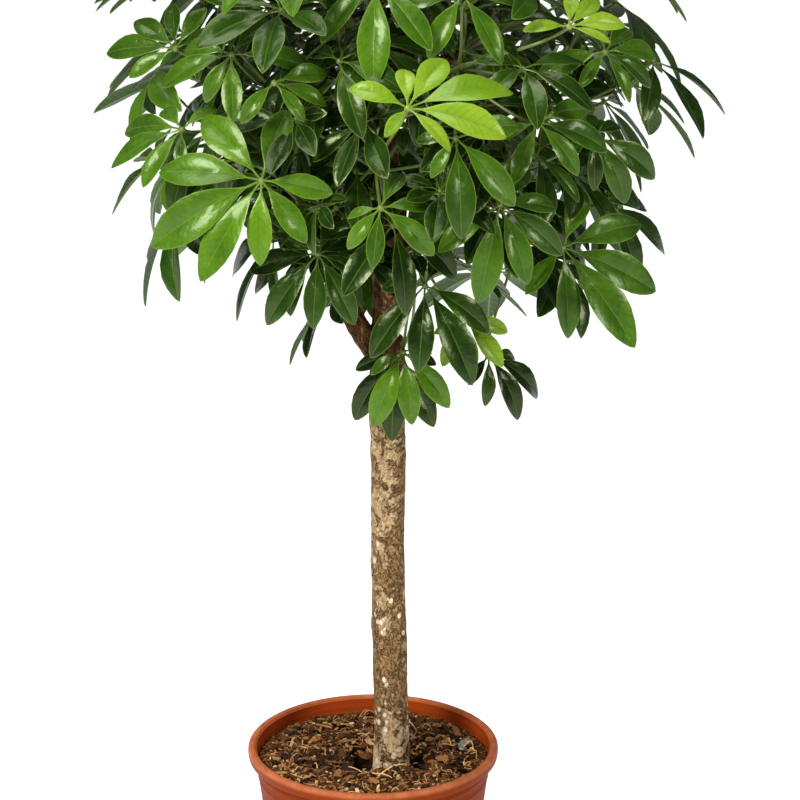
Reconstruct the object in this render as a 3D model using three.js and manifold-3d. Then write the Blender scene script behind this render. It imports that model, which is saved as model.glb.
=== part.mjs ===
// Schefflera grown as a small tree: a ball of umbrella leaves on one woody trunk,
// standing in a round plastic pot of bark mix.
// Millimetres, +Z up, X to the right, Y away from the front; the origin lies under the
// middle of the pot, on the surface that it stands on.

import * as THREE from 'three';
import { mergeVertices } from 'three/addons/utils/BufferGeometryUtils.js';
import Module from 'manifold-3d';

const wasm = await Module();
wasm.setup();

// Driving dimensions of the pot
const POT_HEIGHT = 215;
const LIP_RADIUS = 135;
const LIP_BAND = 13;
const WALL_TOP_RADIUS = 127;
const BASE_RADIUS = 100;
const WALL = 2.6;
const POT_SIDES = 36;
const DRAIN_HOLES = 6;
const DRAIN_RADIUS = 7;
const DRAIN_CIRCLE = 64;
const FOOT_ROUNDING = 2.5;
// Section of the rolled lip: out from the lip's radius, up from its lower edge
const LIP_SECTION = [[-5, 0], [-1, 2.5], [0, 6], [-1.2, 10.4], [-4, 13], [-7.6, 12.4], [-9.4, 9.4]];

// Driving dimensions of the soil
const SOIL_LEVEL = 197;
const FIT_GAP = 0.3;
const CHIP_COUNT = 18;
const CHIP_LENGTHS = [12, 26];
const CHIP_HEIGHTS = [5, 8];
const CHIP_WIDTH_SHARE = 0.55;
const CHIP_TILT = 0.3;
const CHIP_BELT = [40, 102];
const SOIL_RINGS = [24, 48, 72, 96, 114];
const SOIL_RELIEF = 3;
const SOIL_EDGE_DROP = 3;
const SOIL_SIDES = 18;
const SOIL_SEED = 7;

// Driving dimensions of the wood: trunk and limbs as routes with a radius at each point
const TRUNK_FOOT = 120;
const TRUNK_ROUTE = [
  [19, -4, TRUNK_FOOT], [19, -4, 180], [20, -5, 232], [18, -2, 330],
  [16, 0, 430], [17, 1, 520], [15, 0, 600], [16, 0, 668],
];
const TRUNK_RADII = [19, 19.2, 18, 17.5, 17, 17.4, 17.8, 16];
const TRUNK_HOLE_RADIUS = 20.2;
const LIMB_ROUTES = {
  right: [[16, 0, 650], [15, 3, 704], [36, 8, 748], [68, 10, 786], [104, 6, 828]],
  left: [[12, 0, 640], [-12, -3, 676], [-42, -4, 738], [-66, 2, 802]],
  middle: [[15, 3, 696], [8, 18, 760], [14, 18, 846], [24, 8, 934]],
  back: [[17, 4, 680], [24, 40, 736], [30, 74, 800]],
  front: [[15, 0, 690], [20, -30, 740], [26, -58, 796]],
};
const LIMB_RADII = {
  right: [14, 12, 10, 9, 7], left: [11, 10.5, 9, 7], middle: [11, 9.5, 8.5, 6.5],
  back: [10, 8.5, 6.5], front: [9, 8, 6.5],
};
const TWIG_RADIUS = 4.6;

// Driving dimensions of the crown: leafy shoots, then umbrella leaves on two shells
const CROWN = [26, 0, 905];
const SHOOT_COUNT = 22;
const SHOOT_TIP_SHELL = 162;
const SHOOT_SHARE = 0.46;
const SHOOT_LOWEST = -0.80;
const SHOOT_TURN = 0.9;
const SHOOT_DIP = 0.1;
const SHOOT_SPREAD = [0.94, 1.06];
const CLIMB_COST = 1.5;
const CLIMB_MARGIN = 20;
const STEM_RADIUS = 4;
const STALK_RADIUS = 1.8;
const SHELLS = [{ total: 110, shell: 250, reach: 98 }, { total: 20, shell: 184, reach: 82 }];
const GOLDEN_TURN = 2.39996;
const LEAF_LOWEST = -0.93;
const LEAF_SPACING = 76;
const FEWEST_LEAFLETS = 4;
const UNDERSIDE_FLATTENING = 0.8;
// The crown's underside slants up towards the left: no hub hangs below this line
const UNDERSIDE_HEIGHT = 700;
const UNDERSIDE_SLOPE = -0.5;
// How much a leaf on a shell turns outwards, upwards, still more upwards below the crown's
// middle, and at random
const FACE_OUT = 0.65;
const FACE_UP = 0.6;
const FACE_UP_BELOW = 0.4;
const FACE_RANDOM = 0.7;
const HUB_SPREAD = [0.94, 1.06];
const LEAFLET_COUNTS = [7, 9];
const REACH_SPREAD = [0.84, 1.1];
const DROOPS = [6, 52];
const LIFTS = [0, 24];
const FRONT_DEPTH = 30;
const CROWN_SEED = 13117;

// Shape of a leaflet, as shares of its reach from the hub to its tip
const LEAFLET_HALF_WIDTH = 0.17;
const BASE_LEAFLET_SHARE = 0.66;
const FAN_ANGLE = 306;
const LIFT = 4;
const YOUNG_LIFT = 14;
const YOUNG_REACH = 0.7;
const YOUNG_SHARE = 0.12;
const YOUNG = 2;
const VALLEY = 14;
const SAG = 0.12;
const BLADE_THICKNESS = 1.8;
const BLADE_FOOT = 0.14;
const BLADE_ROUNDING = 0.8;
const HUB_RADIUS = 4.6;
const HUB_RISE = 1.4;
const HUB_DEPTH = 1.6;
// Where the faceted blade is deepest, and its two shoulders: share of the reach, half width
const VALLEY_SHARE = 0.56;
const SHOULDERS = [[0.44, 0.125], [0.76, 0.166]];
// Random share of a leaflet's turn (radians), reach, droop and roll (degrees)
const TURN_SPREAD = 0.1;
const LENGTH_SPREAD = [0.95, 1.05];
const DROOP_SPREAD = 16;
const ROLL_SPREAD = 36;

// Clearances kept between the middles of blades, stalks and wood
const BLADE_CLEARANCE = 8;
const STALK_CLEARANCE = 6.5;
const STALK_ROOT = 14;
// What a leaflet tries in turn to find room: more droop in degrees, share of its reach
const LEAFLET_TRIES = [[0, 1], [14, 1], [-14, 1], [28, 0.9], [-28, 0.9], [10, 0.7]];
// Where on a shoot a stalk may start: a random share first, then these
const FIRST_SHARES = [0.3, 0.9];
const OTHER_SHARES = [0.9, 0.6, 0.35, 0.75];
const SHOOTS_TRIED = 4;
const SHOOT_CENTRE = 0.85;
const MOST_LEAFLETS = 9;

// Umbrella leaves that show at the front, placed by hand: hub across and up, the shell that
// the hub lies on, the way the leaf faces (degrees to the right, degrees up), its droop, its
// age (0 old, 1 grown, 2 young) and its leaflets: the clock direction of each, in degrees from
// straight down towards the right, and its reach
const FRONT_LEAVES = [
  {
    hub: [-100, 870], shell: 238, face: [-4, 20], droop: 26, age: 1,
    spokes: [[-143, 92], [-101, 106], [-67, 122], [-34, 104], [0, 72], [42, 64], [88, 68], [165, 82]],
  },
  {
    hub: [186, 792], shell: 238, face: [8, 22], droop: 20, age: 1,
    spokes: [[-120, 48], [-44, 54], [0, 84], [36, 112], [71, 106], [114, 88], [158, 70]],
  },
  {
    hub: [122, 848], shell: 232, face: [8, 26], droop: 34, age: 1,
    spokes: [[-146, 40], [-62, 66], [-18, 88], [18, 74], [56, 74], [96, 60], [142, 56]],
  },
  {
    hub: [-49, 793], shell: 215, face: [-4, 26], droop: 36, age: 0,
    spokes: [[-162, 60], [-120, 44], [-82, 72], [-40, 78], [-4, 66],
      [32, 72], [74, 42], [112, 46], [158, 50]],
  },
  {
    hub: [53, 759], shell: 215, face: [6, 34], droop: 44, age: 0,
    spokes: [[-172, 48], [-100, 44], [-46, 84], [-10, 76], [26, 98], [64, 74], [152, 50]],
  },
  {
    hub: [28, 656], shell: 232, face: [-8, 36], droop: 44, age: 0,
    spokes: [[-78, 50], [-42, 80], [-6, 84], [34, 74], [90, 42]],
  },
  {
    hub: [32, 690], shell: 258, face: [4, 34], droop: 46, age: 1,
    spokes: [[-64, 36], [-28, 72], [8, 68], [44, 64], [100, 34]],
  },
  {
    hub: [91, 720], shell: 236, face: [8, 30], droop: 40, age: 2,
    spokes: [[-70, 32], [-28, 46], [6, 52], [40, 58], [80, 46]],
  },
  {
    hub: [119, 655], shell: 228, face: [20, 40], droop: 50, age: 0,
    spokes: [[-50, 36], [-12, 48], [24, 72], [60, 76], [98, 40]],
  },
  {
    hub: [36, 945], shell: 246, face: [12, 46], droop: 26, age: 2,
    spokes: [[-120, 60], [-44, 38], [40, 56], [74, 94], [108, 114], [142, 80], [176, 56]],
  },
  {
    hub: [80, 916], shell: 240, face: [6, 28], droop: 36, age: 1,
    spokes: [[-100, 40], [-36, 40], [4, 80], [48, 76], [112, 66]],
  },
  {
    hub: [87, 1038], shell: 222, face: [4, 34], droop: 36, age: 1,
    spokes: [[-95, 60], [-32, 62], [34, 70], [92, 62], [150, 52]],
  },
  {
    hub: [7, 1051], shell: 222, face: [-4, 34], droop: 30, age: 1,
    spokes: [[-95, 70], [-48, 70], [0, 88], [42, 90], [100, 70]],
  },
  {
    hub: [-128, 982], shell: 236, face: [-8, 34], droop: 44, age: 1,
    spokes: [[-170, 46], [-112, 62], [-74, 72], [-36, 50], [6, 66], [92, 78], [148, 64]],
  },
  {
    hub: [-87, 960], shell: 228, face: [4, 34], droop: 36, age: 1,
    spokes: [[-47, 46], [44, 42], [78, 50], [112, 58], [146, 48], [180, 42]],
  },
  {
    hub: [-178, 907], shell: 246, face: [-24, 44], droop: 34, age: 1,
    spokes: [[-134, 52], [-98, 76], [-64, 84], [-30, 60], [12, 40], [150, 44]],
  },
  {
    hub: [-185, 979], shell: 246, face: [-24, 34], droop: 6, age: 1,
    spokes: [[-160, 54], [-124, 66], [-90, 78], [-56, 50], [124, 52], [162, 54]],
  },
  {
    hub: [213, 899], shell: 226, face: [14, 30], droop: 48, age: 0,
    spokes: [[-60, 42], [-2, 50], [32, 72], [66, 80], [120, 42]],
  },
  {
    hub: [157, 921], shell: 222, face: [6, 34], droop: 42, age: 0,
    spokes: [[-80, 38], [-25, 56], [44, 60], [80, 78], [117, 64], [172, 44]],
  },
  {
    hub: [187, 1006], shell: 240, face: [16, 44], droop: 18, age: 2,
    spokes: [[-95, 46], [60, 42], [96, 58], [130, 52], [166, 44]],
  },
  {
    hub: [224, 977], shell: 238, face: [20, 36], droop: 36, age: 1,
    spokes: [[-86, 66], [-48, 42], [24, 50], [60, 60], [96, 66], [130, 54], [175, 44]],
  },
  {
    hub: [233, 919], shell: 246, face: [24, 12], droop: 8, age: 1,
    spokes: [[-100, 50], [-30, 36], [52, 44], [88, 94], [122, 80]],
  },
  {
    hub: [234, 813], shell: 226, face: [26, 34], droop: 40, age: 0,
    spokes: [[-20, 54], [24, 84], [60, 94], [95, 62], [132, 52]],
  },
  {
    hub: [-33, 955], shell: 246, face: [0, 26], droop: 34, age: 2,
    spokes: [[-60, 34], [8, 44], [78, 64], [134, 48]],
  },
  {
    hub: [11, 852], shell: 244, face: [0, 30], droop: 40, age: 1,
    spokes: [[-84, 34], [-46, 46], [-10, 50], [58, 62], [104, 48], [156, 50]],
  },
];

// Small vector helpers on THREE.Vector3
const UP = new THREE.Vector3(0, 0, 1);
const vector = (x, y, z) => new THREE.Vector3(x, y, z);
const point = (xyz) => vector(...xyz);
const plus = (a, b, scale = 1) => a.clone().addScaledVector(b, scale);
const radians = THREE.MathUtils.degToRad;

// Streams of seeded draws between 0 and 1, one for the soil and one for the crown
function stream(seed) {
  let state = seed;
  return () => {
    state = (Math.imul(1664525, state) + 1013904223) >>> 0;
    return state / 4294967296;
  };
}
const drawSoil = stream(SOIL_SEED);
const draw = stream(CROWN_SEED);
const between = ([low, high], share) => low + (high - low) * share;

// Solids: closed triangle lists joined and cut as manifolds
function toSolid(vertices, triangles) {
  const geometry = new THREE.BufferGeometry();
  const numbers = vertices.flatMap((v) => [v.x, v.y, v.z]);
  geometry.setAttribute('position', new THREE.Float32BufferAttribute(numbers, 3));
  geometry.setIndex(triangles.flat());
  return geometryToSolid(geometry);
}

function geometryToSolid(geometry) {
  const bare = geometry.clone();
  bare.deleteAttribute('normal');
  bare.deleteAttribute('uv');
  const merged = mergeVertices(bare, 1e-4);
  return new wasm.Manifold(new wasm.Mesh({
    numProp: 3,
    vertProperties: new Float32Array(merged.attributes.position.array),
    triVerts: new Uint32Array(merged.index.array),
  }));
}

function solidToGeometry(solid) {
  const mesh = solid.getMesh();
  const geometry = new THREE.BufferGeometry();
  geometry.setAttribute('position', new THREE.BufferAttribute(mesh.vertProperties, 3));
  geometry.setIndex(new THREE.BufferAttribute(mesh.triVerts, 1));
  return geometry;
}

function fuse(solids) {
  return solids.reduce((whole, solid) => whole.add(solid));
}

// Point on a smooth route through its points, at a share of the way (0 to 1)
function onRoute(route, share) {
  const spans = route.length - 1;
  const place = Math.min(share * spans, spans - 1e-9);
  const span = Math.floor(place);
  const t = place - span;
  const p1 = route[span];
  const p2 = route[span + 1];
  const p0 = span > 0 ? route[span - 1] : plus(p1.clone().multiplyScalar(2), p2, -1);
  const p3 = span + 2 <= spans ? route[span + 2] : plus(p2.clone().multiplyScalar(2), p1, -1);
  const result = p1.clone().multiplyScalar(2);
  result.addScaledVector(plus(p2, p0, -1), t);
  const square = p0.clone().multiplyScalar(2).addScaledVector(p1, -5);
  result.addScaledVector(square.addScaledVector(p2, 4).addScaledVector(p3, -1), t * t);
  const cube = p3.clone().addScaledVector(p2, -3).addScaledVector(p1, 3).addScaledVector(p0, -1);
  return result.addScaledVector(cube, t * t * t).multiplyScalar(0.5);
}

// Tube with flat ends through a list of points, one radius at each
function tube(points, radii, sides) {
  const vertices = [];
  const triangles = [];
  const last = points.length - 1;
  let side = vector(1, 0.1, 0);
  points.forEach((centre, i) => {
    const along = plus(points[Math.min(i + 1, last)], points[Math.max(i - 1, 0)], -1).normalize();
    side = plus(side, along, -side.dot(along)).normalize();
    const other = along.clone().cross(side);
    for (let k = 0; k < sides; k += 1) {
      const turn = (2 * Math.PI * k) / sides;
      const ring = plus(side.clone().multiplyScalar(Math.cos(turn)), other, Math.sin(turn));
      vertices.push(plus(centre, ring, radii[i]));
    }
  });
  for (let i = 0; i < last; i += 1) {
    for (let k = 0; k < sides; k += 1) {
      const next = (k + 1) % sides;
      const a = i * sides + k;
      const b = i * sides + next;
      triangles.push([a, b, b + sides], [a, b + sides, a + sides]);
    }
  }
  for (let k = 1; k < sides - 1; k += 1) {
    triangles.push([0, k + 1, k]);
    triangles.push([last * sides, last * sides + k, last * sides + k + 1]);
  }
  return toSolid(vertices, triangles);
}

// Groups of sample points on what is already placed, for keeping new leaves clear of it
const placed = [];

function remember(points, thickness, owner) {
  const centre = points.reduce((sum, p) => sum.add(p), vector(0, 0, 0)).divideScalar(points.length);
  const spread = Math.max(...points.map((p) => p.distanceTo(centre)));
  placed.push({ points, centre, spread, thickness, owner });
}

function isClear(points, clearance, owners) {
  const centre = points.reduce((sum, p) => sum.add(p), vector(0, 0, 0)).divideScalar(points.length);
  const spread = Math.max(...points.map((p) => p.distanceTo(centre)));
  for (const group of placed) {
    if (owners.includes(group.owner)) continue;
    const limit = clearance + group.thickness;
    if (group.centre.distanceTo(centre) > group.spread + spread + limit) continue;
    for (const p of points) {
      for (const q of group.points) {
        if (p.distanceToSquared(q) < limit * limit) return false;
      }
    }
  }
  return true;
}

// Pot: a turned wall with a rolled lip and a flat floor with drain holes
function buildPot() {
  const shoulder = POT_HEIGHT - LIP_BAND;
  const innerTop = WALL_TOP_RADIUS - WALL;
  const profile = [
    [0, 0], [BASE_RADIUS - FOOT_ROUNDING, 0], [BASE_RADIUS, FOOT_ROUNDING],
    [WALL_TOP_RADIUS, shoulder - 1.5],
    ...LIP_SECTION.map(([out, up]) => [LIP_RADIUS + out, shoulder + up]),
    [innerTop, shoulder - 3], [BASE_RADIUS - WALL, WALL + 1], [0, WALL + 1],
  ];
  const turned = new THREE.LatheGeometry(profile.map(([r, z]) => new THREE.Vector2(r, z)), POT_SIDES);
  turned.rotateX(Math.PI / 2);
  let pot = geometryToSolid(turned);
  for (let k = 0; k < DRAIN_HOLES; k += 1) {
    const angle = (2 * Math.PI * k) / DRAIN_HOLES;
    const drill = new THREE.CylinderGeometry(DRAIN_RADIUS, DRAIN_RADIUS, 20, 8);
    drill.rotateX(Math.PI / 2);
    drill.translate(DRAIN_CIRCLE * Math.cos(angle), DRAIN_CIRCLE * Math.sin(angle), 0);
    pot = pot.subtract(geometryToSolid(drill));
  }
  return pot;
}

// Soil: fills the pot to its level, with a low relief, bark chips and the trunk's hole
function buildSoil() {
  const floor = WALL + 1 + FIT_GAP;
  const slope = (WALL_TOP_RADIUS - BASE_RADIUS) / (POT_HEIGHT - LIP_BAND - 4);
  const wallRadius = (z) => BASE_RADIUS - WALL + slope * (z - WALL - 1) - 2 * FIT_GAP;
  const vertices = [vector(0, 0, floor), vector(0, 0, SOIL_LEVEL - 1)];
  const addRing = (radius, heightAt) => {
    const start = vertices.length;
    for (let k = 0; k < SOIL_SIDES; k += 1) {
      const angle = (2 * Math.PI * k) / SOIL_SIDES;
      vertices.push(vector(radius * Math.cos(angle), radius * Math.sin(angle), heightAt()));
    }
    return start;
  };
  const starts = SOIL_RINGS.map((radius, ring) => (
    addRing(radius, () => SOIL_LEVEL + (ring % 2 ? 1 : -1) + SOIL_RELIEF * (drawSoil() - 0.5))
  ));
  const edge = SOIL_LEVEL - SOIL_EDGE_DROP;
  starts.push(addRing(wallRadius(edge), () => edge));
  starts.push(addRing(wallRadius(floor), () => floor));
  const triangles = [];
  for (let k = 0; k < SOIL_SIDES; k += 1) {
    const next = (k + 1) % SOIL_SIDES;
    triangles.push([1, starts[0] + k, starts[0] + next]);
    for (let ring = 0; ring < starts.length - 1; ring += 1) {
      const inner = starts[ring];
      const outer = starts[ring + 1];
      triangles.push([inner + k, outer + k, outer + next], [inner + k, outer + next, inner + next]);
    }
    triangles.push([0, starts.at(-1) + next, starts.at(-1) + k]);
  }
  const chips = Array.from({ length: CHIP_COUNT }, () => barkChip());
  const [x, y] = TRUNK_ROUTE[0];
  const hole = tube(
    [vector(x, y, TRUNK_FOOT - FIT_GAP), vector(x, y, POT_HEIGHT)],
    [TRUNK_HOLE_RADIUS, TRUNK_HOLE_RADIUS],
    12,
  );
  return fuse([toSolid(vertices, triangles), ...chips]).subtract(hole);
}

// One flat chip of bark lying half sunk in the soil, away from the trunk and the wall
function barkChip() {
  const radius = between(CHIP_BELT, Math.sqrt(drawSoil()));
  const angle = 2 * Math.PI * drawSoil();
  const turn = Math.PI * drawSoil();
  const length = between(CHIP_LENGTHS, drawSoil());
  const height = between(CHIP_HEIGHTS, drawSoil());
  const chip = new THREE.CylinderGeometry(0.42 * length, 0.5 * length, height, 4);
  chip.rotateX(Math.PI / 2);
  chip.scale(1, CHIP_WIDTH_SHARE, 1);
  chip.rotateX(CHIP_TILT * (drawSoil() - 0.5));
  chip.rotateY(CHIP_TILT * (drawSoil() - 0.5));
  chip.rotateZ(turn);
  chip.translate(radius * Math.cos(angle), radius * Math.sin(angle), SOIL_LEVEL + 1);
  return geometryToSolid(chip);
}

// Samples along a route whose radius changes on the way
function sampledRoute(route, radii, steps) {
  const points = route.map(point);
  const radiusPoints = radii.map((r) => vector(r, 0, 0));
  const samples = Array.from({ length: steps + 1 }, (_, i) => onRoute(points, i / steps));
  const sampleRadii = samples.map((_, i) => onRoute(radiusPoints, i / steps).x);
  return { samples, sampleRadii };
}

// Direction of place k of a number of places spread evenly from straight up to the lowest
function spreadDirection(k, total, lowest, turn) {
  const rise = 1 - ((k + 0.5) / total) * (1 - lowest);
  const flat = Math.sqrt(1 - rise * rise);
  const around = GOLDEN_TURN * k + turn;
  return vector(flat * Math.cos(around), flat * Math.sin(around), rise);
}

// Shoots: each grows from the nearest place on a limb below it, in a shallow upward arch
function planShoots(limbs) {
  const forks = limbs.flatMap((limb) => limb.samples.slice(2));
  return Array.from({ length: SHOOT_COUNT }, (_, k) => {
    const outward = spreadDirection(k, SHOOT_COUNT, SHOOT_LOWEST, SHOOT_TURN);
    const tip = plus(point(CROWN), outward, SHOOT_TIP_SHELL * between(SHOOT_SPREAD, draw()));
    const cost = (fork) => (
      fork.distanceTo(tip) + CLIMB_COST * Math.max(0, fork.z - tip.z + CLIMB_MARGIN)
    );
    const origin = forks.reduce((best, fork) => (cost(fork) < cost(best) ? fork : best));
    const bend = plus(origin.clone().lerp(tip, 0.5), UP, -SHOOT_DIP * tip.distanceTo(origin));
    const way = (t) => {
      const near = plus(origin.clone().multiplyScalar((1 - t) ** 2), bend, 2 * t * (1 - t));
      return plus(near, tip, t * t);
    };
    return { owner: `shoot${k}`, outward, way, leaves: [] };
  });
}

// Leaf planes: the straight-down and sideways directions in the plane that a hub faces
function leafPlane(normal) {
  const down = plus(vector(0, 0, -1), normal, normal.z).normalize();
  return { down, across: normal.clone().cross(down) };
}

// Route of a leaf stalk from its shoot to the underside of the hub
function stalkRoute(shoot, share, leaf) {
  const foot = shoot.way(1 - SHOOT_SHARE + SHOOT_SHARE * share);
  const reach = leaf.hub.distanceTo(foot);
  const straight = plus(leaf.hub, foot, -1).normalize();
  const arrive = plus(leaf.normal, straight).normalize();
  const leave = plus(straight, shoot.outward, 0.7).normalize();
  const first = plus(foot, leave, 0.3 * reach);
  const second = plus(leaf.hub, arrive, -0.35 * reach);
  const end = plus(leaf.hub, leaf.normal, -HUB_DEPTH);
  return (t) => {
    const s = 1 - t;
    const near = plus(foot.clone().multiplyScalar(s * s * s), first, 3 * s * s * t);
    return plus(plus(near, second, 3 * s * t * t), end, t * t * t);
  };
}

// Leaflet: an arched blade; its middle line, its upward normal and its edge at a share t
function leaflet(leaf, angle, reach, droop, roll) {
  const { down, across } = leafPlane(leaf.normal);
  const radial = plus(down.clone().multiplyScalar(Math.cos(angle)), across, Math.sin(angle));
  const sideways = plus(down.clone().multiplyScalar(-Math.sin(angle)), across, Math.cos(angle));
  const start = radians(leaf.lift);
  const bend = radians(droop);
  const middle = (t) => {
    const now = start - bend * t;
    const out = (Math.sin(start) - Math.sin(now)) / bend;
    const rise = (Math.cos(now) - Math.cos(start)) / bend;
    const onArc = plus(plus(leaf.hub, radial, reach * out), leaf.normal, reach * rise);
    return plus(onArc, UP, -SAG * reach * t * t);
  };
  const normalAt = (t) => {
    const now = start - bend * t;
    return plus(leaf.normal.clone().multiplyScalar(Math.cos(now)), radial, -Math.sin(now));
  };
  const edge = (t, side, half) => {
    const tilt = radians(VALLEY + side * roll);
    const out = plus(middle(t), sideways, side * half * reach * Math.cos(tilt));
    return plus(out, normalAt(t), half * reach * Math.sin(tilt));
  };
  return { middle, normalAt, edge, angle };
}

// Half width of a leaflet at a share t of its reach: a thin stalk, then an oval blade
function halfWidth(t) {
  const along = Math.max(0, (t - BLADE_FOOT) / (1 - BLADE_FOOT));
  const oval = Math.sin(Math.PI * along) ** BLADE_ROUNDING;
  return LEAFLET_HALF_WIDTH * oval * (0.86 + 0.28 * along);
}

function leafletSamples(blade) {
  const samples = [];
  for (let i = 0; i < 8; i += 1) {
    const t = BLADE_FOOT + 0.12 * i;
    const half = halfWidth(Math.min(t, 0.97));
    for (const side of [-1, -0.5, 0, 0.5, 1]) {
      samples.push(blade.edge(t, Math.sign(side), half * Math.abs(side)));
    }
  }
  return samples;
}

// The nearest shoot from which a stalk reaches the leaf's hub clear of what is there
function chooseStalk(leaf, shoots, firstShare) {
  const nearest = [...shoots].sort((a, b) => (
    a.way(SHOOT_CENTRE).distanceTo(leaf.hub) - b.way(SHOOT_CENTRE).distanceTo(leaf.hub)
  ));
  for (const shoot of nearest.slice(0, SHOOTS_TRIED)) {
    for (const share of [firstShare, ...OTHER_SHARES]) {
      const route = stalkRoute(shoot, share, leaf);
      const samples = Array.from({ length: 14 }, (_, i) => route(0.14 + 0.065 * i));
      const outside = samples.filter((p) => p.distanceTo(route(0)) > STALK_ROOT);
      if (isClear(outside, STALK_CLEARANCE, [shoot.owner])) return { shoot, route, samples };
    }
  }
  return null;
}

// Clock direction and reach of each leaflet round the longest one
function fan(leaf, lead) {
  return Array.from({ length: leaf.count }, (_, i) => {
    const off = FAN_ANGLE * (i / (leaf.count - 1) - 0.5);
    const share = BASE_LEAFLET_SHARE + (1 - BASE_LEAFLET_SHARE) * Math.cos(radians(off) / 2) ** 2;
    return [lead + off, leaf.reach * share];
  });
}

// A leaflet that finds room, if need be by drooping more or less or staying shorter
function fitLeaflet(leaf, spoke, jitter) {
  const angle = radians(spoke[0]) + TURN_SPREAD * (jitter[0] - 0.5);
  const reach = spoke[1] * between(LENGTH_SPREAD, jitter[1]);
  const droop = leaf.droop + DROOP_SPREAD * (jitter[2] - 0.5);
  const roll = ROLL_SPREAD * (jitter[3] - 0.5);
  for (const [extra, shrink] of LEAFLET_TRIES) {
    const blade = leaflet(leaf, angle, reach * shrink, droop + extra, roll);
    const samples = leafletSamples(blade);
    if (isClear(samples, BLADE_CLEARANCE, [leaf])) {
      remember(samples, 0, leaf);
      return blade;
    }
  }
  return null;
}

// A leaf takes its place, stalk first, unless too few of its leaflets find room
function placeLeaf(leaf, shoots, firstShare, jitters) {
  const choice = chooseStalk(leaf, shoots, firstShare);
  if (!choice) return false;
  if (!leaf.spokes) {
    const { down, across } = leafPlane(leaf.normal);
    const away = plus(leaf.hub, choice.route(0.4), -1);
    leaf.spokes = fan(leaf, THREE.MathUtils.radToDeg(Math.atan2(away.dot(across), away.dot(down))));
  }
  const before = placed.length;
  leaf.blades = leaf.spokes.map((spoke, i) => fitLeaflet(leaf, spoke, jitters[i])).filter(Boolean);
  if (leaf.blades.length < FEWEST_LEAFLETS) {
    placed.length = before;
    return false;
  }
  remember(choice.samples, 0, choice.shoot.owner);
  leaf.route = choice.route;
  choice.shoot.leaves.push(leaf);
  return true;
}

function frontLeaf(row) {
  const crown = point(CROWN);
  const [x, z] = row.hub;
  const depthSquared = row.shell ** 2 - (x - crown.x) ** 2 - (z - crown.z) ** 2;
  const depth = Math.sqrt(Math.max(depthSquared, FRONT_DEPTH ** 2));
  const [turn, rise] = row.face.map(radians);
  const level = vector(Math.sin(turn), -Math.cos(turn), 0).multiplyScalar(Math.cos(rise));
  const normal = plus(level, UP, Math.sin(rise));
  const lift = row.age === YOUNG ? YOUNG_LIFT : LIFT;
  return { hub: vector(x, crown.y - depth, z), normal, droop: row.droop, lift, spokes: row.spokes };
}

// Leaf on a shell of the crown, turned outwards and up
function shellLeaf(k, total, shell, reach) {
  const outward = spreadDirection(k, total, LEAF_LOWEST, shell);
  const hub = plus(point(CROWN), outward, shell * between(HUB_SPREAD, draw()));
  if (outward.z < 0) hub.z = CROWN[2] + (hub.z - CROWN[2]) * UNDERSIDE_FLATTENING;
  const tilt = vector(draw() - 0.5, draw() - 0.5, 0);
  const upward = FACE_UP + FACE_UP_BELOW * Math.max(0, -outward.z);
  const facing = plus(outward.clone().multiplyScalar(FACE_OUT), UP, upward);
  const normal = plus(facing, tilt, FACE_RANDOM).normalize();
  const isYoung = draw() < YOUNG_SHARE;
  return {
    hub,
    normal,
    count: Math.floor(between(LEAFLET_COUNTS, draw())),
    reach: reach * between(REACH_SPREAD, draw()) * (isYoung ? YOUNG_REACH : 1),
    droop: between(DROOPS, draw()),
    lift: between(LIFTS, draw()),
  };
}

function placeLeaves(shoots) {
  const hubs = [];
  const drawJitters = () => (
    Array.from({ length: MOST_LEAFLETS }, () => [draw(), draw(), draw(), draw()])
  );
  for (const row of FRONT_LEAVES) {
    const leaf = frontLeaf(row);
    if (placeLeaf(leaf, shoots, between(FIRST_SHARES, draw()), drawJitters())) hubs.push(leaf.hub);
  }
  for (const { total, shell, reach } of SHELLS) {
    for (let k = 0; k < total; k += 1) {
      const leaf = shellLeaf(k, total, shell, reach);
      const share = between(FIRST_SHARES, draw());
      const jitters = drawJitters();
      const lowest = UNDERSIDE_HEIGHT + UNDERSIDE_SLOPE * (leaf.hub.x - CROWN[0]);
      const crowded = hubs.some((other) => other.distanceTo(leaf.hub) < LEAF_SPACING);
      const fits = leaf.hub.z > lowest && !crowded;
      if (fits && placeLeaf(leaf, shoots, share, jitters)) hubs.push(leaf.hub);
    }
  }
}

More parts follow.
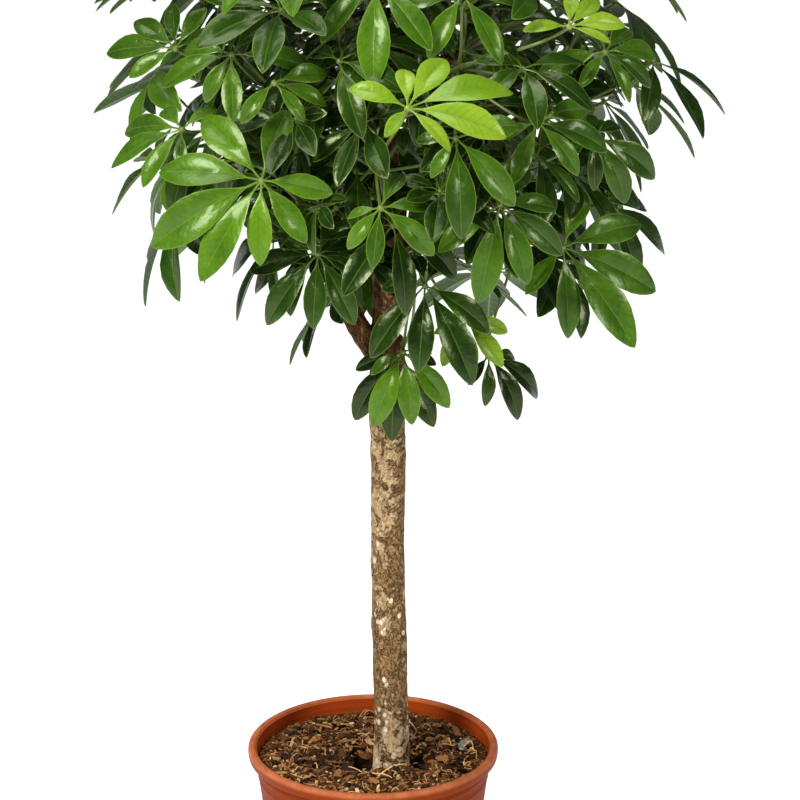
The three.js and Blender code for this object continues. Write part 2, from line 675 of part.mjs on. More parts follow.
// One umbrella leaf as one closed body: its blades round the hub on top, and below them a
// three-sided stalk whose top ring is bridged to the blades' undersides
function leafSolid(leaf) {
  const vertices = [];
  const triangles = [];
  const push = (v) => vertices.push(v) - 1;
  const { down, across } = leafPlane(leaf.normal);
  const around = (angle) => plus(down.clone().multiplyScalar(Math.cos(angle)), across, Math.sin(angle));
  const count = leaf.blades.length;
  const gapAngles = leaf.blades.map((blade, i) => (
    (blade.angle + (i > 0 ? leaf.blades[i - 1].angle : leaf.blades.at(-1).angle - 2 * Math.PI)) / 2
  ));
  const top = push(plus(leaf.hub, leaf.normal, HUB_RISE));
  const gaps = gapAngles.map((angle) => push(plus(leaf.hub, around(angle), HUB_RADIUS)));
  const underLoop = [];
  leaf.blades.forEach((blade, i) => {
    const low = gaps[i];
    const high = gaps[(i + 1) % count];
    const { over, under, outline } = bladeVertices(blade, push);
    const edge = [low, ...outline, high];
    triangles.push([over, top, low], [over, high, top]);
    for (let k = 0; k < edge.length - 1; k += 1) {
      triangles.push([over, edge[k], edge[k + 1]], [under, edge[k + 1], edge[k]]);
    }
    underLoop.push({ id: low, angle: gapAngles[i] }, { id: under, angle: blade.angle });
  });
  const lead = leaf.blades[0].angle;
  const rings = stalkRings(leaf, around(lead + Math.PI / 2), push);
  bridge(underLoop, rings[0], lead, triangles);
  for (let s = 0; s < rings.length - 1; s += 1) {
    for (let k = 0; k < 3; k += 1) {
      const next = (k + 1) % 3;
      triangles.push([rings[s][next], rings[s][k], rings[s + 1][k]]);
      triangles.push([rings[s][next], rings[s + 1][k], rings[s + 1][next]]);
    }
  }
  const foot = rings.at(-1);
  triangles.push([foot[0], foot[2], foot[1]]);
  return toSolid(vertices, triangles);
}

// Vertices of one blade: the valley's top and bottom, and the five outline points
function bladeVertices(blade, push) {
  const valley = blade.middle(VALLEY_SHARE);
  const thick = blade.normalAt(VALLEY_SHARE).multiplyScalar(BLADE_THICKNESS / 2);
  const shoulder = (place, side) => push(blade.edge(SHOULDERS[place][0], side, SHOULDERS[place][1]));
  return {
    over: push(plus(valley, thick)),
    under: push(plus(valley, thick, -1)),
    outline: [
      shoulder(0, -1), shoulder(1, -1), push(blade.middle(1)), shoulder(1, 1), shoulder(0, 1),
    ],
  };
}

// Three-sided rings down the stalk, the first one under the hub and the last in the stem
const RING_TURNS = [210, 330, 450];
function stalkRings(leaf, sideways, push) {
  return [1, 0.7, 0.36, 0].map((t) => {
    const near = plus(leaf.route(Math.min(t + 0.05, 1)), leaf.route(Math.max(t - 0.05, 0)), -1);
    const tangent = t === 1 ? leaf.normal : near.normalize();
    const first = plus(sideways, tangent, -sideways.dot(tangent)).normalize();
    const second = tangent.clone().cross(first);
    return RING_TURNS.map((degrees) => {
      const turn = radians(degrees);
      const spoke = plus(first.clone().multiplyScalar(Math.cos(turn)), second, Math.sin(turn));
      return push(plus(leaf.route(t), spoke, STALK_RADIUS * (1.25 - 0.25 * t)));
    });
  });
}

// Triangles between the loop under the blades and the stalk's top ring
function bridge(loop, ring, lead, triangles) {
  const ringAngles = RING_TURNS.map((degrees) => lead + radians(degrees + 90));
  const nearest = (angle) => {
    const misses = ringAngles.map((ringAngle) => -Math.cos(angle - ringAngle));
    return misses.indexOf(Math.min(...misses));
  };
  loop.forEach((here, j) => {
    const next = loop[(j + 1) % loop.length];
    const a = nearest(here.angle);
    const b = nearest(next.angle);
    triangles.push([here.id, ring[a], next.id]);
    if (a !== b) triangles.push([next.id, ring[a], ring[b]]);
  });
}

// Wood: the trunk, its limbs and the twigs that carry the shoots, fused
function buildWood(trunk, limbs, shoots) {
  const solids = [tube(trunk.samples, trunk.sampleRadii, 10)];
  for (const limb of limbs) solids.push(tube(limb.samples, limb.sampleRadii, 7));
  for (const shoot of shoots) {
    const shares = [0, 0.5 * (1 - SHOOT_SHARE), 1 - SHOOT_SHARE];
    solids.push(tube(shares.map(shoot.way), [TWIG_RADIUS + 1, TWIG_RADIUS + 0.5, TWIG_RADIUS], 5));
  }
  return fuse(solids);
}

function buildShoot(shoot) {
  const start = 1 - SHOOT_SHARE;
  const length = shoot.way(start).distanceTo(shoot.way(1));
  const shares = [start + (SHOOT_SHARE * 3 * FIT_GAP) / length, start + 0.5 * SHOOT_SHARE, 1];
  const stem = tube(shares.map(shoot.way), [STEM_RADIUS, STEM_RADIUS * 0.9, STEM_RADIUS * 0.7], 5);
  return fuse([stem, ...shoot.leaves.map(leafSolid)]);
}

// The plant is planned first, then each sub-part becomes a named mesh
const trunk = sampledRoute(TRUNK_ROUTE, TRUNK_RADII, 11);
const limbs = Object.keys(LIMB_ROUTES).map((name) => (
  sampledRoute(LIMB_ROUTES[name], LIMB_RADII[name], 2 * (LIMB_ROUTES[name].length - 1))
));
const soilSolid = buildSoil();
const shoots = planShoots(limbs);
for (const run of [trunk, ...limbs]) {
  run.samples.forEach((sample, i) => remember([sample], run.sampleRadii[i], 'wood'));
}
for (const shoot of shoots) {
  const samples = Array.from({ length: 16 }, (_, i) => shoot.way(i / 15));
  remember(samples, TWIG_RADIUS, shoot.owner);
}
placeLeaves(shoots);

const PLASTIC = new THREE.MeshStandardMaterial({ color: 0xa0603f, roughness: 0.5, metalness: 0 });
const SOIL = new THREE.MeshStandardMaterial({ color: 0x3a2a20, roughness: 0.95, metalness: 0 });
const BARK = new THREE.MeshStandardMaterial({ color: 0x8a7455, roughness: 0.85, metalness: 0 });
const LEAF = new THREE.MeshStandardMaterial({ color: 0x2f5a2a, roughness: 0.35, metalness: 0 });

const group = new THREE.Group();
function addPiece(name, solid, material) {
  const mesh = new THREE.Mesh(solidToGeometry(solid), material);
  mesh.name = name;
  group.add(mesh);
}
addPiece('pot', buildPot(), PLASTIC);
addPiece('soil', soilSolid, SOIL);
addPiece('wood', buildWood(trunk, limbs, shoots), BARK);
shoots.filter((shoot) => shoot.leaves.length > 0).forEach((shoot, i) => {
  addPiece(`shoot_${String(i + 1).padStart(2, '0')}`, buildShoot(shoot), LEAF);
});

export default group;
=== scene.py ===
# %% [markdown]
# # A schefflera grown as a small tree
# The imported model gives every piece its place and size. This lesson dresses it: a turned
# plastic pot, a bed of bark mix, a trunk with its limbs, and umbrella leaves on their shoots.

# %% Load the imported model
import math

import bmesh
import bpy
import numpy as np
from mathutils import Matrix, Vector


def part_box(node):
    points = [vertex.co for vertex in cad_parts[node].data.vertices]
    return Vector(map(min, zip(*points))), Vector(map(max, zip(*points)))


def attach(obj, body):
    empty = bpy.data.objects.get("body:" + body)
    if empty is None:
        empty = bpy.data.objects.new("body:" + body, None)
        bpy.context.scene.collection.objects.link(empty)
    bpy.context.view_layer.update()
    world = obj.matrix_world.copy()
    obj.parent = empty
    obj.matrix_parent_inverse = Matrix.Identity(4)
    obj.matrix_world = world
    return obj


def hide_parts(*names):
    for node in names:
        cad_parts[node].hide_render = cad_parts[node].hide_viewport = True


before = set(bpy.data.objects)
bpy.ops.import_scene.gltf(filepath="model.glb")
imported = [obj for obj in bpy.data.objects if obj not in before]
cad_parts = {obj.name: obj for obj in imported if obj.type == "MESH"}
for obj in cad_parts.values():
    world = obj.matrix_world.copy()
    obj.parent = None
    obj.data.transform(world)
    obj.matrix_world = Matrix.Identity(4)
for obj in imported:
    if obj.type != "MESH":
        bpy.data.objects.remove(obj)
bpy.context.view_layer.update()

MM = 0.001


def new_object(name, data):
    """An object with this mesh, lamp or camera, linked into the scene."""
    made = bpy.data.objects.new(name, data)
    bpy.context.scene.collection.objects.link(made)
    return made


# %% [markdown]
# ## The view
# The photograph looks down a little on the crown from about two and a half metres away,
# and its frame cuts off the pot's foot and the crown's top. A long lens at that distance
# keeps the trunk upright and the rim's ellipse as open as it is there.

# %% Camera
CAMERA_PLACE = (0.029, -2.490, 1.323)
CAMERA_PITCH = 16.2
FOCAL_PIXELS = 2500
FRAME_PIXELS = 800

camera_data = bpy.data.cameras.new("view")
camera_data.sensor_fit = "HORIZONTAL"
camera_data.angle = 2 * math.atan(FRAME_PIXELS / 2 / FOCAL_PIXELS)
camera = new_object("view", camera_data)
camera.location = CAMERA_PLACE
camera.rotation_euler = (math.radians(90 - CAMERA_PITCH), 0, 0)
bpy.context.scene.camera = camera
print("lens angle", round(math.degrees(camera_data.angle), 2), "degrees")

# %% [markdown]
# ## Growing the plan
# The solids of the model were grown by a rule: limbs from given routes, shoots towards
# even directions, and leaves on shells of the crown, each leaflet kept only where it finds
# room. Growing the same plan here, from the same numbers and the same seeded draws, puts
# every fine leaf exactly on its solid. All lengths in this part are millimetres. Angles are
# degrees, except in the three numbers that are called a turn, which are radians. A shell is
# a row: how many leaves are tried on it, its radius, and the reach of their longest leaflets.
# A pair called a spread holds the two ends that a draw falls between.

# %% Numbers of the plant
TRUNK_FOOT = 120
TRUNK_ROUTE = [
    [19, -4, TRUNK_FOOT], [19, -4, 180], [20, -5, 232], [18, -2, 330],
    [16, 0, 430], [17, 1, 520], [15, 0, 600], [16, 0, 668],
]
TRUNK_RADII = [19, 19.2, 18, 17.5, 17, 17.4, 17.8, 16]
LIMB_ROUTES = {
    "right": [[16, 0, 650], [15, 3, 704], [36, 8, 748], [68, 10, 786], [104, 6, 828]],
    "left": [[12, 0, 640], [-12, -3, 676], [-42, -4, 738], [-66, 2, 802]],
    "middle": [[15, 3, 696], [8, 18, 760], [14, 18, 846], [24, 8, 934]],
    "back": [[17, 4, 680], [24, 40, 736], [30, 74, 800]],
    "front": [[15, 0, 690], [20, -30, 740], [26, -58, 796]],
}
LIMB_RADII = {
    "right": [14, 12, 10, 9, 7], "left": [11, 10.5, 9, 7], "middle": [11, 9.5, 8.5, 6.5],
    "back": [10, 8.5, 6.5], "front": [9, 8, 6.5],
}
TWIG_RADIUS = 4.6
CROWN = np.array([26.0, 0.0, 905.0])
SHOOT_COUNT, SHOOT_TIP_SHELL, SHOOT_SHARE = 22, 162, 0.46
SHOOT_LOWEST, SHOOT_TURN, SHOOT_DIP = -0.80, 0.9, 0.1
CLIMB_COST, CLIMB_MARGIN = 1.5, 20
STEM_RADIUS = 4
SHELLS = [(110, 250, 98), (20, 184, 82)]
GOLDEN_TURN = 2.39996
LEAF_LOWEST, LEAF_SPACING, FEWEST_LEAFLETS = -0.93, 76, 4
UNDERSIDE_FLATTENING = 0.8
UNDERSIDE_HEIGHT, UNDERSIDE_SLOPE = 700, -0.5
FACE_OUT, FACE_UP, FACE_UP_BELOW, FACE_RANDOM = 0.65, 0.6, 0.4, 0.7
SHOOT_SPREAD, HUB_SPREAD = (0.94, 1.06), (0.94, 1.06)
LEAFLET_COUNTS, REACH_SPREAD, DROOPS, LIFTS = (7, 9), (0.84, 1.1), (6, 52), (0, 24)
YOUNG, YOUNG_SHARE, YOUNG_REACH, YOUNG_LIFT, LIFT = 2, 0.12, 0.7, 14, 4
GROWN_SHARE = 0.34
FRONT_DEPTH = 30
CROWN_SEED = 13117
LEAFLET_HALF_WIDTH, BASE_LEAFLET_SHARE, FAN_ANGLE = 0.17, 0.66, 306
VALLEY, SAG = 14, 0.12
BLADE_FOOT, BLADE_ROUNDING, HUB_DEPTH = 0.14, 0.8, 1.6
TURN_SPREAD, LENGTH_SPREAD, DROOP_SPREAD, ROLL_SPREAD = 0.1, (0.95, 1.05), 16, 36
LEAFLET_TRIES = [(0, 1), (14, 1), (-14, 1), (28, 0.9), (-28, 0.9), (10, 0.7)]
FIRST_SHARES, OTHER_SHARES = (0.3, 0.9), (0.9, 0.6, 0.35, 0.75)
SHOOTS_TRIED, SHOOT_CENTRE, MOST_LEAFLETS = 4, 0.85, 9
BLADE_CLEARANCE, STALK_CLEARANCE, STALK_ROOT = 8, 6.5, 14
print("limbs", len(LIMB_ROUTES), "shoots", SHOOT_COUNT, "shells of leaves", len(SHELLS))

# %% [markdown]
# The leaves that show at the front are listed. Each row holds the hub across and up,
# the shell that the hub lies on, the way the leaf faces (degrees to the right, degrees up),
# its droop, its age (0 old, 1 grown, 2 young), and its leaflets: the clock direction of each,
# in degrees from straight down towards the right, and its reach.

# %% Leaves listed one by one
FRONT_LEAVES = [
    ([-100, 870], 238, [-4, 20], 26, 1,
     [[-143, 92], [-101, 106], [-67, 122], [-34, 104], [0, 72], [42, 64], [88, 68], [165, 82]]),
    ([186, 792], 238, [8, 22], 20, 1,
     [[-120, 48], [-44, 54], [0, 84], [36, 112], [71, 106], [114, 88], [158, 70]]),
    ([122, 848], 232, [8, 26], 34, 1,
     [[-146, 40], [-62, 66], [-18, 88], [18, 74], [56, 74], [96, 60], [142, 56]]),
    ([-49, 793], 215, [-4, 26], 36, 0,
     [[-162, 60], [-120, 44], [-82, 72], [-40, 78], [-4, 66], [32, 72], [74, 42], [112, 46], [158, 50]]),
    ([53, 759], 215, [6, 34], 44, 0,
     [[-172, 48], [-100, 44], [-46, 84], [-10, 76], [26, 98], [64, 74], [152, 50]]),
    ([28, 656], 232, [-8, 36], 44, 0,
     [[-78, 50], [-42, 80], [-6, 84], [34, 74], [90, 42]]),
    ([32, 690], 258, [4, 34], 46, 1,
     [[-64, 36], [-28, 72], [8, 68], [44, 64], [100, 34]]),
    ([91, 720], 236, [8, 30], 40, 2,
     [[-70, 32], [-28, 46], [6, 52], [40, 58], [80, 46]]),
    ([119, 655], 228, [20, 40], 50, 0,
     [[-50, 36], [-12, 48], [24, 72], [60, 76], [98, 40]]),
    ([36, 945], 246, [12, 46], 26, 2,
     [[-120, 60], [-44, 38], [40, 56], [74, 94], [108, 114], [142, 80], [176, 56]]),
    ([80, 916], 240, [6, 28], 36, 1,
     [[-100, 40], [-36, 40], [4, 80], [48, 76], [112, 66]]),
    ([87, 1038], 222, [4, 34], 36, 1,
     [[-95, 60], [-32, 62], [34, 70], [92, 62], [150, 52]]),
    ([7, 1051], 222, [-4, 34], 30, 1,
     [[-95, 70], [-48, 70], [0, 88], [42, 90], [100, 70]]),
    ([-128, 982], 236, [-8, 34], 44, 1,
     [[-170, 46], [-112, 62], [-74, 72], [-36, 50], [6, 66], [92, 78], [148, 64]]),
    ([-87, 960], 228, [4, 34], 36, 1,
     [[-47, 46], [44, 42], [78, 50], [112, 58], [146, 48], [180, 42]]),
    ([-178, 907], 246, [-24, 44], 34, 1,
     [[-134, 52], [-98, 76], [-64, 84], [-30, 60], [12, 40], [150, 44]]),
    ([-185, 979], 246, [-24, 34], 6, 1,
     [[-160, 54], [-124, 66], [-90, 78], [-56, 50], [124, 52], [162, 54]]),
    ([213, 899], 226, [14, 30], 48, 0,
     [[-60, 42], [-2, 50], [32, 72], [66, 80], [120, 42]]),
    ([157, 921], 222, [6, 34], 42, 0,
     [[-80, 38], [-25, 56], [44, 60], [80, 78], [117, 64], [172, 44]]),
    ([187, 1006], 240, [16, 44], 18, 2,
     [[-95, 46], [60, 42], [96, 58], [130, 52], [166, 44]]),
    ([224, 977], 238, [20, 36], 36, 1,
     [[-86, 66], [-48, 42], [24, 50], [60, 60], [96, 66], [130, 54], [175, 44]]),
    ([233, 919], 246, [24, 12], 8, 1,
     [[-100, 50], [-30, 36], [52, 44], [88, 94], [122, 80]]),
    ([234, 813], 226, [26, 34], 40, 0,
     [[-20, 54], [24, 84], [60, 94], [95, 62], [132, 52]]),
    ([-33, 955], 246, [0, 26], 34, 2,
     [[-60, 34], [8, 44], [78, 64], [134, 48]]),
    ([11, 852], 244, [0, 30], 40, 1,
     [[-84, 34], [-46, 46], [-10, 50], [58, 62], [104, 48], [156, 50]]),
]
print("leaves placed by hand", len(FRONT_LEAVES))

# %% [markdown]
# Two helpers do most of the growing. A smooth curve through a few points gives every limb, and
# the golden turn, the angle by which real shoots follow each other round a stem, spreads
# directions evenly over a ball.

# %% Draws, routes and directions
UP = np.array([0.0, 0.0, 1.0])
TRUNK_STEPS, SHOOT_STEPS = 11, 15


def stream(seed):
    """Seeded draws between 0 and 1 from a linear congruential rule."""
    state = seed

    def draw():
        nonlocal state
        state = (1664525 * state + 1013904223) & 0xFFFFFFFF
        return state / 4294967296

    return draw


draw = stream(CROWN_SEED)


def between(ends, share):
    """The value at a share of the way between two ends."""
    return ends[0] + (ends[1] - ends[0]) * share


def unit(vector):
    """The vector over its own length."""
    return vector / np.sqrt((vector * vector).sum(-1, keepdims=True))


def on_route(route, share):
    """Point on a smooth route: a cubic between two points, with slopes from their neighbours."""
    spans = len(route) - 1
    place = min(share * spans, spans - 1e-9)
    span = math.floor(place)
    t = place - span
    p1, p2 = route[span], route[span + 1]
    p0 = route[span - 1] if span > 0 else 2 * p1 - p2
    p3 = route[span + 2] if span + 2 <= spans else 2 * p2 - p1
    square = 2 * p0 - 5 * p1 + 4 * p2 - p3
    cube = p3 - 3 * p2 + 3 * p1 - p0
    return (2 * p1 + (p2 - p0) * t + square * t * t + cube * t ** 3) * 0.5


def sampled_route(route, radii, steps):
    """Evenly shared samples on a route, and the radius at each."""
    points = np.array(route, float)
    shares = [i / steps for i in range(steps + 1)]
    samples = np.array([on_route(points, share) for share in shares])
    radius_points = np.array(radii, float)
    return samples, np.array([on_route(radius_points, share) for share in shares])


def spread_direction(k, total, lowest, turn):
    """Direction k of total, spread evenly by the golden turn from straight up to the lowest rise."""
    rise = 1 - ((k + 0.5) / total) * (1 - lowest)
    flat = math.sqrt(1 - rise * rise)
    around = GOLDEN_TURN * k + turn
    return np.array([flat * math.cos(around), flat * math.sin(around), rise])


trunk = sampled_route(TRUNK_ROUTE, TRUNK_RADII, TRUNK_STEPS)
limbs = [sampled_route(LIMB_ROUTES[name], LIMB_RADII[name], 2 * (len(LIMB_ROUTES[name]) - 1))
         for name in LIMB_ROUTES]
print("trunk samples", len(trunk[0]), "limbs", len(limbs))

# %% [markdown]
# A shoot could start anywhere. A real one is fed from below, so each one here leaves the limb
# point that costs least: the distance to its tip, plus a price for every part of the way down.


# %% Shoots
class Shoot:
    """A leafy shoot: an arch from its fork on a limb to its tip, with its leaves."""

    def __init__(self, k, forks):
        self.outward = spread_direction(k, SHOOT_COUNT, SHOOT_LOWEST, SHOOT_TURN)
        self.tip = CROWN + self.outward * SHOOT_TIP_SHELL * between(SHOOT_SPREAD, draw())
        climb = np.maximum(0, forks[:, 2] - self.tip[2] + CLIMB_MARGIN)
        cost = np.sqrt(((forks - self.tip) ** 2).sum(1)) + CLIMB_COST * climb
        self.fork = forks[int(np.argmin(cost))]
        span = math.dist(self.tip, self.fork)
        self.bend = (self.fork + self.tip) / 2 - UP * SHOOT_DIP * span
        self.leaves = []

    def way(self, t):
        """Point on the arch at share t: a quadratic curve from fork to tip over the bend."""
        t = np.asarray(t, float)[..., None]
        return self.fork * (1 - t) ** 2 + self.bend * 2 * t * (1 - t) + self.tip * t * t


forks = np.concatenate([samples[2:] for samples, _ in limbs])
shoots = [Shoot(k, forks) for k in range(SHOOT_COUNT)]
print("shoots planned", len(shoots))

# %% [markdown]
# Real leaves never pass through each other, and each seeks its own place in the light. So
# everything that is placed leaves sample points behind, and what comes later keeps clear of
# them. Groups whose balls don't come near are passed over, which makes the test quick.


# %% Room for leaves
class Placed:
    """Sample points of what is already there, in groups with a centre, a spread and a thickness."""

    def __init__(self):
        self.points, self.centres, self.spreads, self.thicknesses, self.owners = [], [], [], [], []

    def remember(self, points, thickness, owner):
        """Adds a group of points."""
        centre = points.mean(0)
        self.points.append(points)
        self.centres.append(centre)
        self.spreads.append(np.sqrt(((points - centre) ** 2).sum(1)).max())
        self.thicknesses.append(thickness)
        self.owners.append(owner)

    def forget_after(self, count):
        """Drops every group after the first ones."""
        for kept in (self.points, self.centres, self.spreads, self.thicknesses, self.owners):
            del kept[count:]

    def is_clear(self, points, clearance, owner):
        """True where every group but the owner's own stays further off than clearance and thickness."""
        centre = points.mean(0)
        spread = np.sqrt(((points - centre) ** 2).sum(1)).max()
        away = np.sqrt(((np.array(self.centres) - centre) ** 2).sum(1))
        limits = clearance + np.array(self.thicknesses)
        near = np.flatnonzero(away <= np.array(self.spreads) + spread + limits)
        for i in near:
            if self.owners[i] is owner:
                continue
            gaps = ((points[:, None] - self.points[i][None]) ** 2).sum(-1)
            if gaps.min() < limits[i] ** 2:
                return False
        return True


placed = Placed()
for samples, radii in [trunk, *limbs]:
    for sample, radius in zip(samples, radii):
        placed.remember(sample[None], radius, "wood")
for shoot in shoots:
    placed.remember(shoot.way(np.arange(SHOOT_STEPS + 1) / SHOOT_STEPS), TWIG_RADIUS, shoot)
print("groups to keep clear of", len(placed.points))

# %% [markdown]
# An umbrella leaf is a hub on a long stalk, with leaflets like the ribs of an umbrella. Its
# curves are formulas, so that the test for room, the solids and the fine leaves below can all
# sample the very same leaf.


# %% Leaf
class Leaf:
    """An umbrella leaf: a hub, the way it faces, and the numbers of its leaflets."""

    def __init__(self, hub, normal, droop, age, lift, spokes=None, count=0, reach=0):
        self.hub, self.normal, self.droop, self.age = hub, normal, droop, age
        self.spokes, self.count, self.reach = spokes, count, reach
        self.lift = lift
        down = -UP + normal * normal[2]
        self.down = down / math.sqrt(float((down * down).sum()))
        self.across = np.cross(normal, self.down)

    def spoke(self, angle):
        """Direction in the leaf's plane at a clock angle from straight down."""
        return self.down * math.cos(angle) + self.across * math.sin(angle)


sample_leaf = Leaf(CROWN, unit(np.array([0, -1, 0.5])), 20, 1, LIFT)
print("down in the plane of a sample leaf", np.round(sample_leaf.down, 2))


# %% Stalk
class Stalk:
    """Cubic curve from a foot in the shoot's stem to the underside of the hub."""
    LEAN_OUT, FIRST_HANDLE, SECOND_HANDLE = 0.7, 0.3, 0.35

    def __init__(self, shoot, share, leaf):
        self.foot = shoot.way(1 - SHOOT_SHARE + SHOOT_SHARE * share)
        reach = math.dist(leaf.hub, self.foot)
        straight = unit(leaf.hub - self.foot)
        arrive = unit(leaf.normal + straight)
        leave = unit(straight + shoot.outward * self.LEAN_OUT)
        self.first = self.foot + leave * self.FIRST_HANDLE * reach
        self.second = leaf.hub - arrive * self.SECOND_HANDLE * reach
        self.end = leaf.hub - leaf.normal * HUB_DEPTH

    def at(self, t):
        """Point at share t: the four points, weighted by the cubic's shares of t and 1 - t."""
        t = np.asarray(t, float)[..., None]
        s = 1 - t
        return (self.foot * s ** 3 + self.first * 3 * s * s * t
                + self.second * 3 * s * t * t + self.end * t ** 3)


print("foot of a sample stalk", np.round(Stalk(shoots[0], 0.5, sample_leaf).foot), "mm")

# %% [markdown]
# A leaflet droops along its whole length, and its halves rise from the midrib as a shallow
# valley. Points across its oval blade are tested for room, and its thin foot is left out.


# %% Leaflet
class Blade:
    """A leaflet: a middle line that bends down evenly, and edges tilted up into a shallow valley."""

    def __init__(self, leaf, angle, reach, droop, roll):
        self.leaf, self.reach, self.roll = leaf, reach, roll
        self.radial = leaf.spoke(angle)
        self.sideways = -leaf.down * math.sin(angle) + leaf.across * math.cos(angle)
        self.start, self.bend = math.radians(leaf.lift), math.radians(droop)

    def middle(self, t):
        """Arc of constant bend from the hub, with a sag that grows with the square of the way."""
        t = np.asarray(t, float)[..., None]
        now = self.start - self.bend * t
        out = (math.sin(self.start) - np.sin(now)) / self.bend
        rise = (np.cos(now) - math.cos(self.start)) / self.bend
        arc = self.leaf.hub + self.radial * self.reach * out + self.leaf.normal * self.reach * rise
        return arc - UP * SAG * self.reach * t * t

    def normal_at(self, t):
        """The leaf's normal, turned by the bend that the middle line has reached at t."""
        now = self.start - self.bend * np.asarray(t, float)[..., None]
        return self.leaf.normal * np.cos(now) - self.radial * np.sin(now)

    def edge(self, t, side, half):
        """Point at a half width out from the middle: tilted up by the valley and the roll."""
        side, half = np.asarray(side, float)[..., None], np.asarray(half, float)[..., None]
        tilt = np.radians(VALLEY + side * self.roll)
        out = self.middle(t) + self.sideways * side * half * self.reach * np.cos(tilt)
        return out + self.normal_at(t) * half * self.reach * np.sin(tilt)


def half_width(t):
    """Half width of a leaflet at a share t of its reach: none at its foot, then an oval blade."""
    along = np.clip((t - BLADE_FOOT) / (1 - BLADE_FOOT), 0, 1)
    return LEAFLET_HALF_WIDTH * np.sin(np.pi * along) ** BLADE_ROUNDING * (0.86 + 0.28 * along)


SAMPLE_T = np.repeat(BLADE_FOOT + 0.12 * np.arange(8), 5)
SAMPLE_SIDE = np.tile([-1.0, -0.5, 0.0, 0.5, 1.0], 8)
SAMPLE_HALF = half_width(np.minimum(SAMPLE_T, 0.97)) * np.abs(SAMPLE_SIDE)
print("points tested on a leaflet", len(SAMPLE_T))

# %% [markdown]
# A leaf takes its place in two steps. First a stalk must reach its hub from one of the nearest
# shoots. Then each leaflet tries to fit, if need be by drooping more or less or staying
# shorter. A leaf with fewer than four leaflets is left out and leaves nothing behind.


# %% A stalk that finds room
STALK_SAMPLES = 0.14 + 0.065 * np.arange(14)


def choose_stalk(leaf, first_share, clearance):
    """The nearest shoot from which a stalk reaches the hub clear of what is there."""
    nearest = sorted(shoots, key=lambda shoot: math.dist(shoot.way(SHOOT_CENTRE), leaf.hub))
    for shoot in nearest[:SHOOTS_TRIED]:
        for share in (first_share, *OTHER_SHARES):
            stalk = Stalk(shoot, share, leaf)
            samples = stalk.at(STALK_SAMPLES)
            outside = samples[np.sqrt(((samples - stalk.foot) ** 2).sum(1)) > STALK_ROOT]
            if len(outside) and placed.is_clear(outside, clearance, shoot):
                return shoot, stalk, samples
    return None


print("points tested on a stalk", len(STALK_SAMPLES))


# %% Leaflets that find room
def fan(leaf, lead):
    """Clock direction and reach of each leaflet round the longest one."""
    spokes = []
    for i in range(leaf.count):
        off = FAN_ANGLE * (i / (leaf.count - 1) - 0.5)
        share = BASE_LEAFLET_SHARE + (1 - BASE_LEAFLET_SHARE) * math.cos(math.radians(off) / 2) ** 2
        spokes.append([lead + off, leaf.reach * share])
    return spokes


def fit_leaflet(leaf, spoke, jitter, clearance):
    """A leaflet that finds room, if need be by drooping more or less or staying shorter."""
    angle = math.radians(spoke[0]) + TURN_SPREAD * (jitter[0] - 0.5)
    reach = spoke[1] * between(LENGTH_SPREAD, jitter[1])
    droop = leaf.droop + DROOP_SPREAD * (jitter[2] - 0.5)
    roll = ROLL_SPREAD * (jitter[3] - 0.5)
    for extra, shrink in LEAFLET_TRIES:
        blade = Blade(leaf, angle, reach * shrink, droop + extra, roll)
        samples = blade.edge(SAMPLE_T, np.sign(SAMPLE_SIDE), SAMPLE_HALF)
        if placed.is_clear(samples, clearance, leaf):
            placed.remember(samples, 0, leaf)
            return blade
    return None


def place_leaf(leaf, first_share, jitters, clearance, stalk_clearance):
    """Gives the leaf its stalk and those leaflets that find room, and returns its shoot or None."""
    choice = choose_stalk(leaf, first_share, stalk_clearance)
    if choice is None:
        return None
    shoot, leaf.stalk, samples = choice
    if leaf.spokes is None:
        away = leaf.hub - leaf.stalk.at(0.4)
        leaf.spokes = fan(leaf, math.degrees(math.atan2(away @ leaf.across, away @ leaf.down)))
    before = len(placed.points)
    tried = [fit_leaflet(leaf, spoke, jitter, clearance)
             for spoke, jitter in zip(leaf.spokes, jitters)]
    leaf.blades = [blade for blade in tried if blade is not None]
    if len(leaf.blades) < FEWEST_LEAFLETS:
        placed.forget_after(before)
        return None
    placed.remember(samples, 0, shoot)
    return shoot


print("ways that a leaflet tries to fit", len(LEAFLET_TRIES))

# %% [markdown]
# Leaves come from two sources: the rows that were listed, and shells of the crown on
# which every number of a leaf is drawn. A drawn leaf uses up its draws even where it finds no
# room, so that a change to one leaf doesn't shift the draws of all that follow.


# %% Leaves from the list and on shells
def front_leaf(hub, shell, face, droop, age, spokes):
    """A row of the list as a leaf, with its hub on the front of its shell."""
    x, z = hub
    depth_squared = shell ** 2 - (x - CROWN[0]) ** 2 - (z - CROWN[2]) ** 2
    depth = math.sqrt(max(depth_squared, FRONT_DEPTH ** 2))
    turn, rise = map(math.radians, face)
    level = math.cos(rise)
    normal = np.array([math.sin(turn) * level, -math.cos(turn) * level, math.sin(rise)])
    place = np.array([x, CROWN[1] - depth, z])
    return Leaf(place, normal, droop, age, YOUNG_LIFT if age == YOUNG else LIFT, spokes)


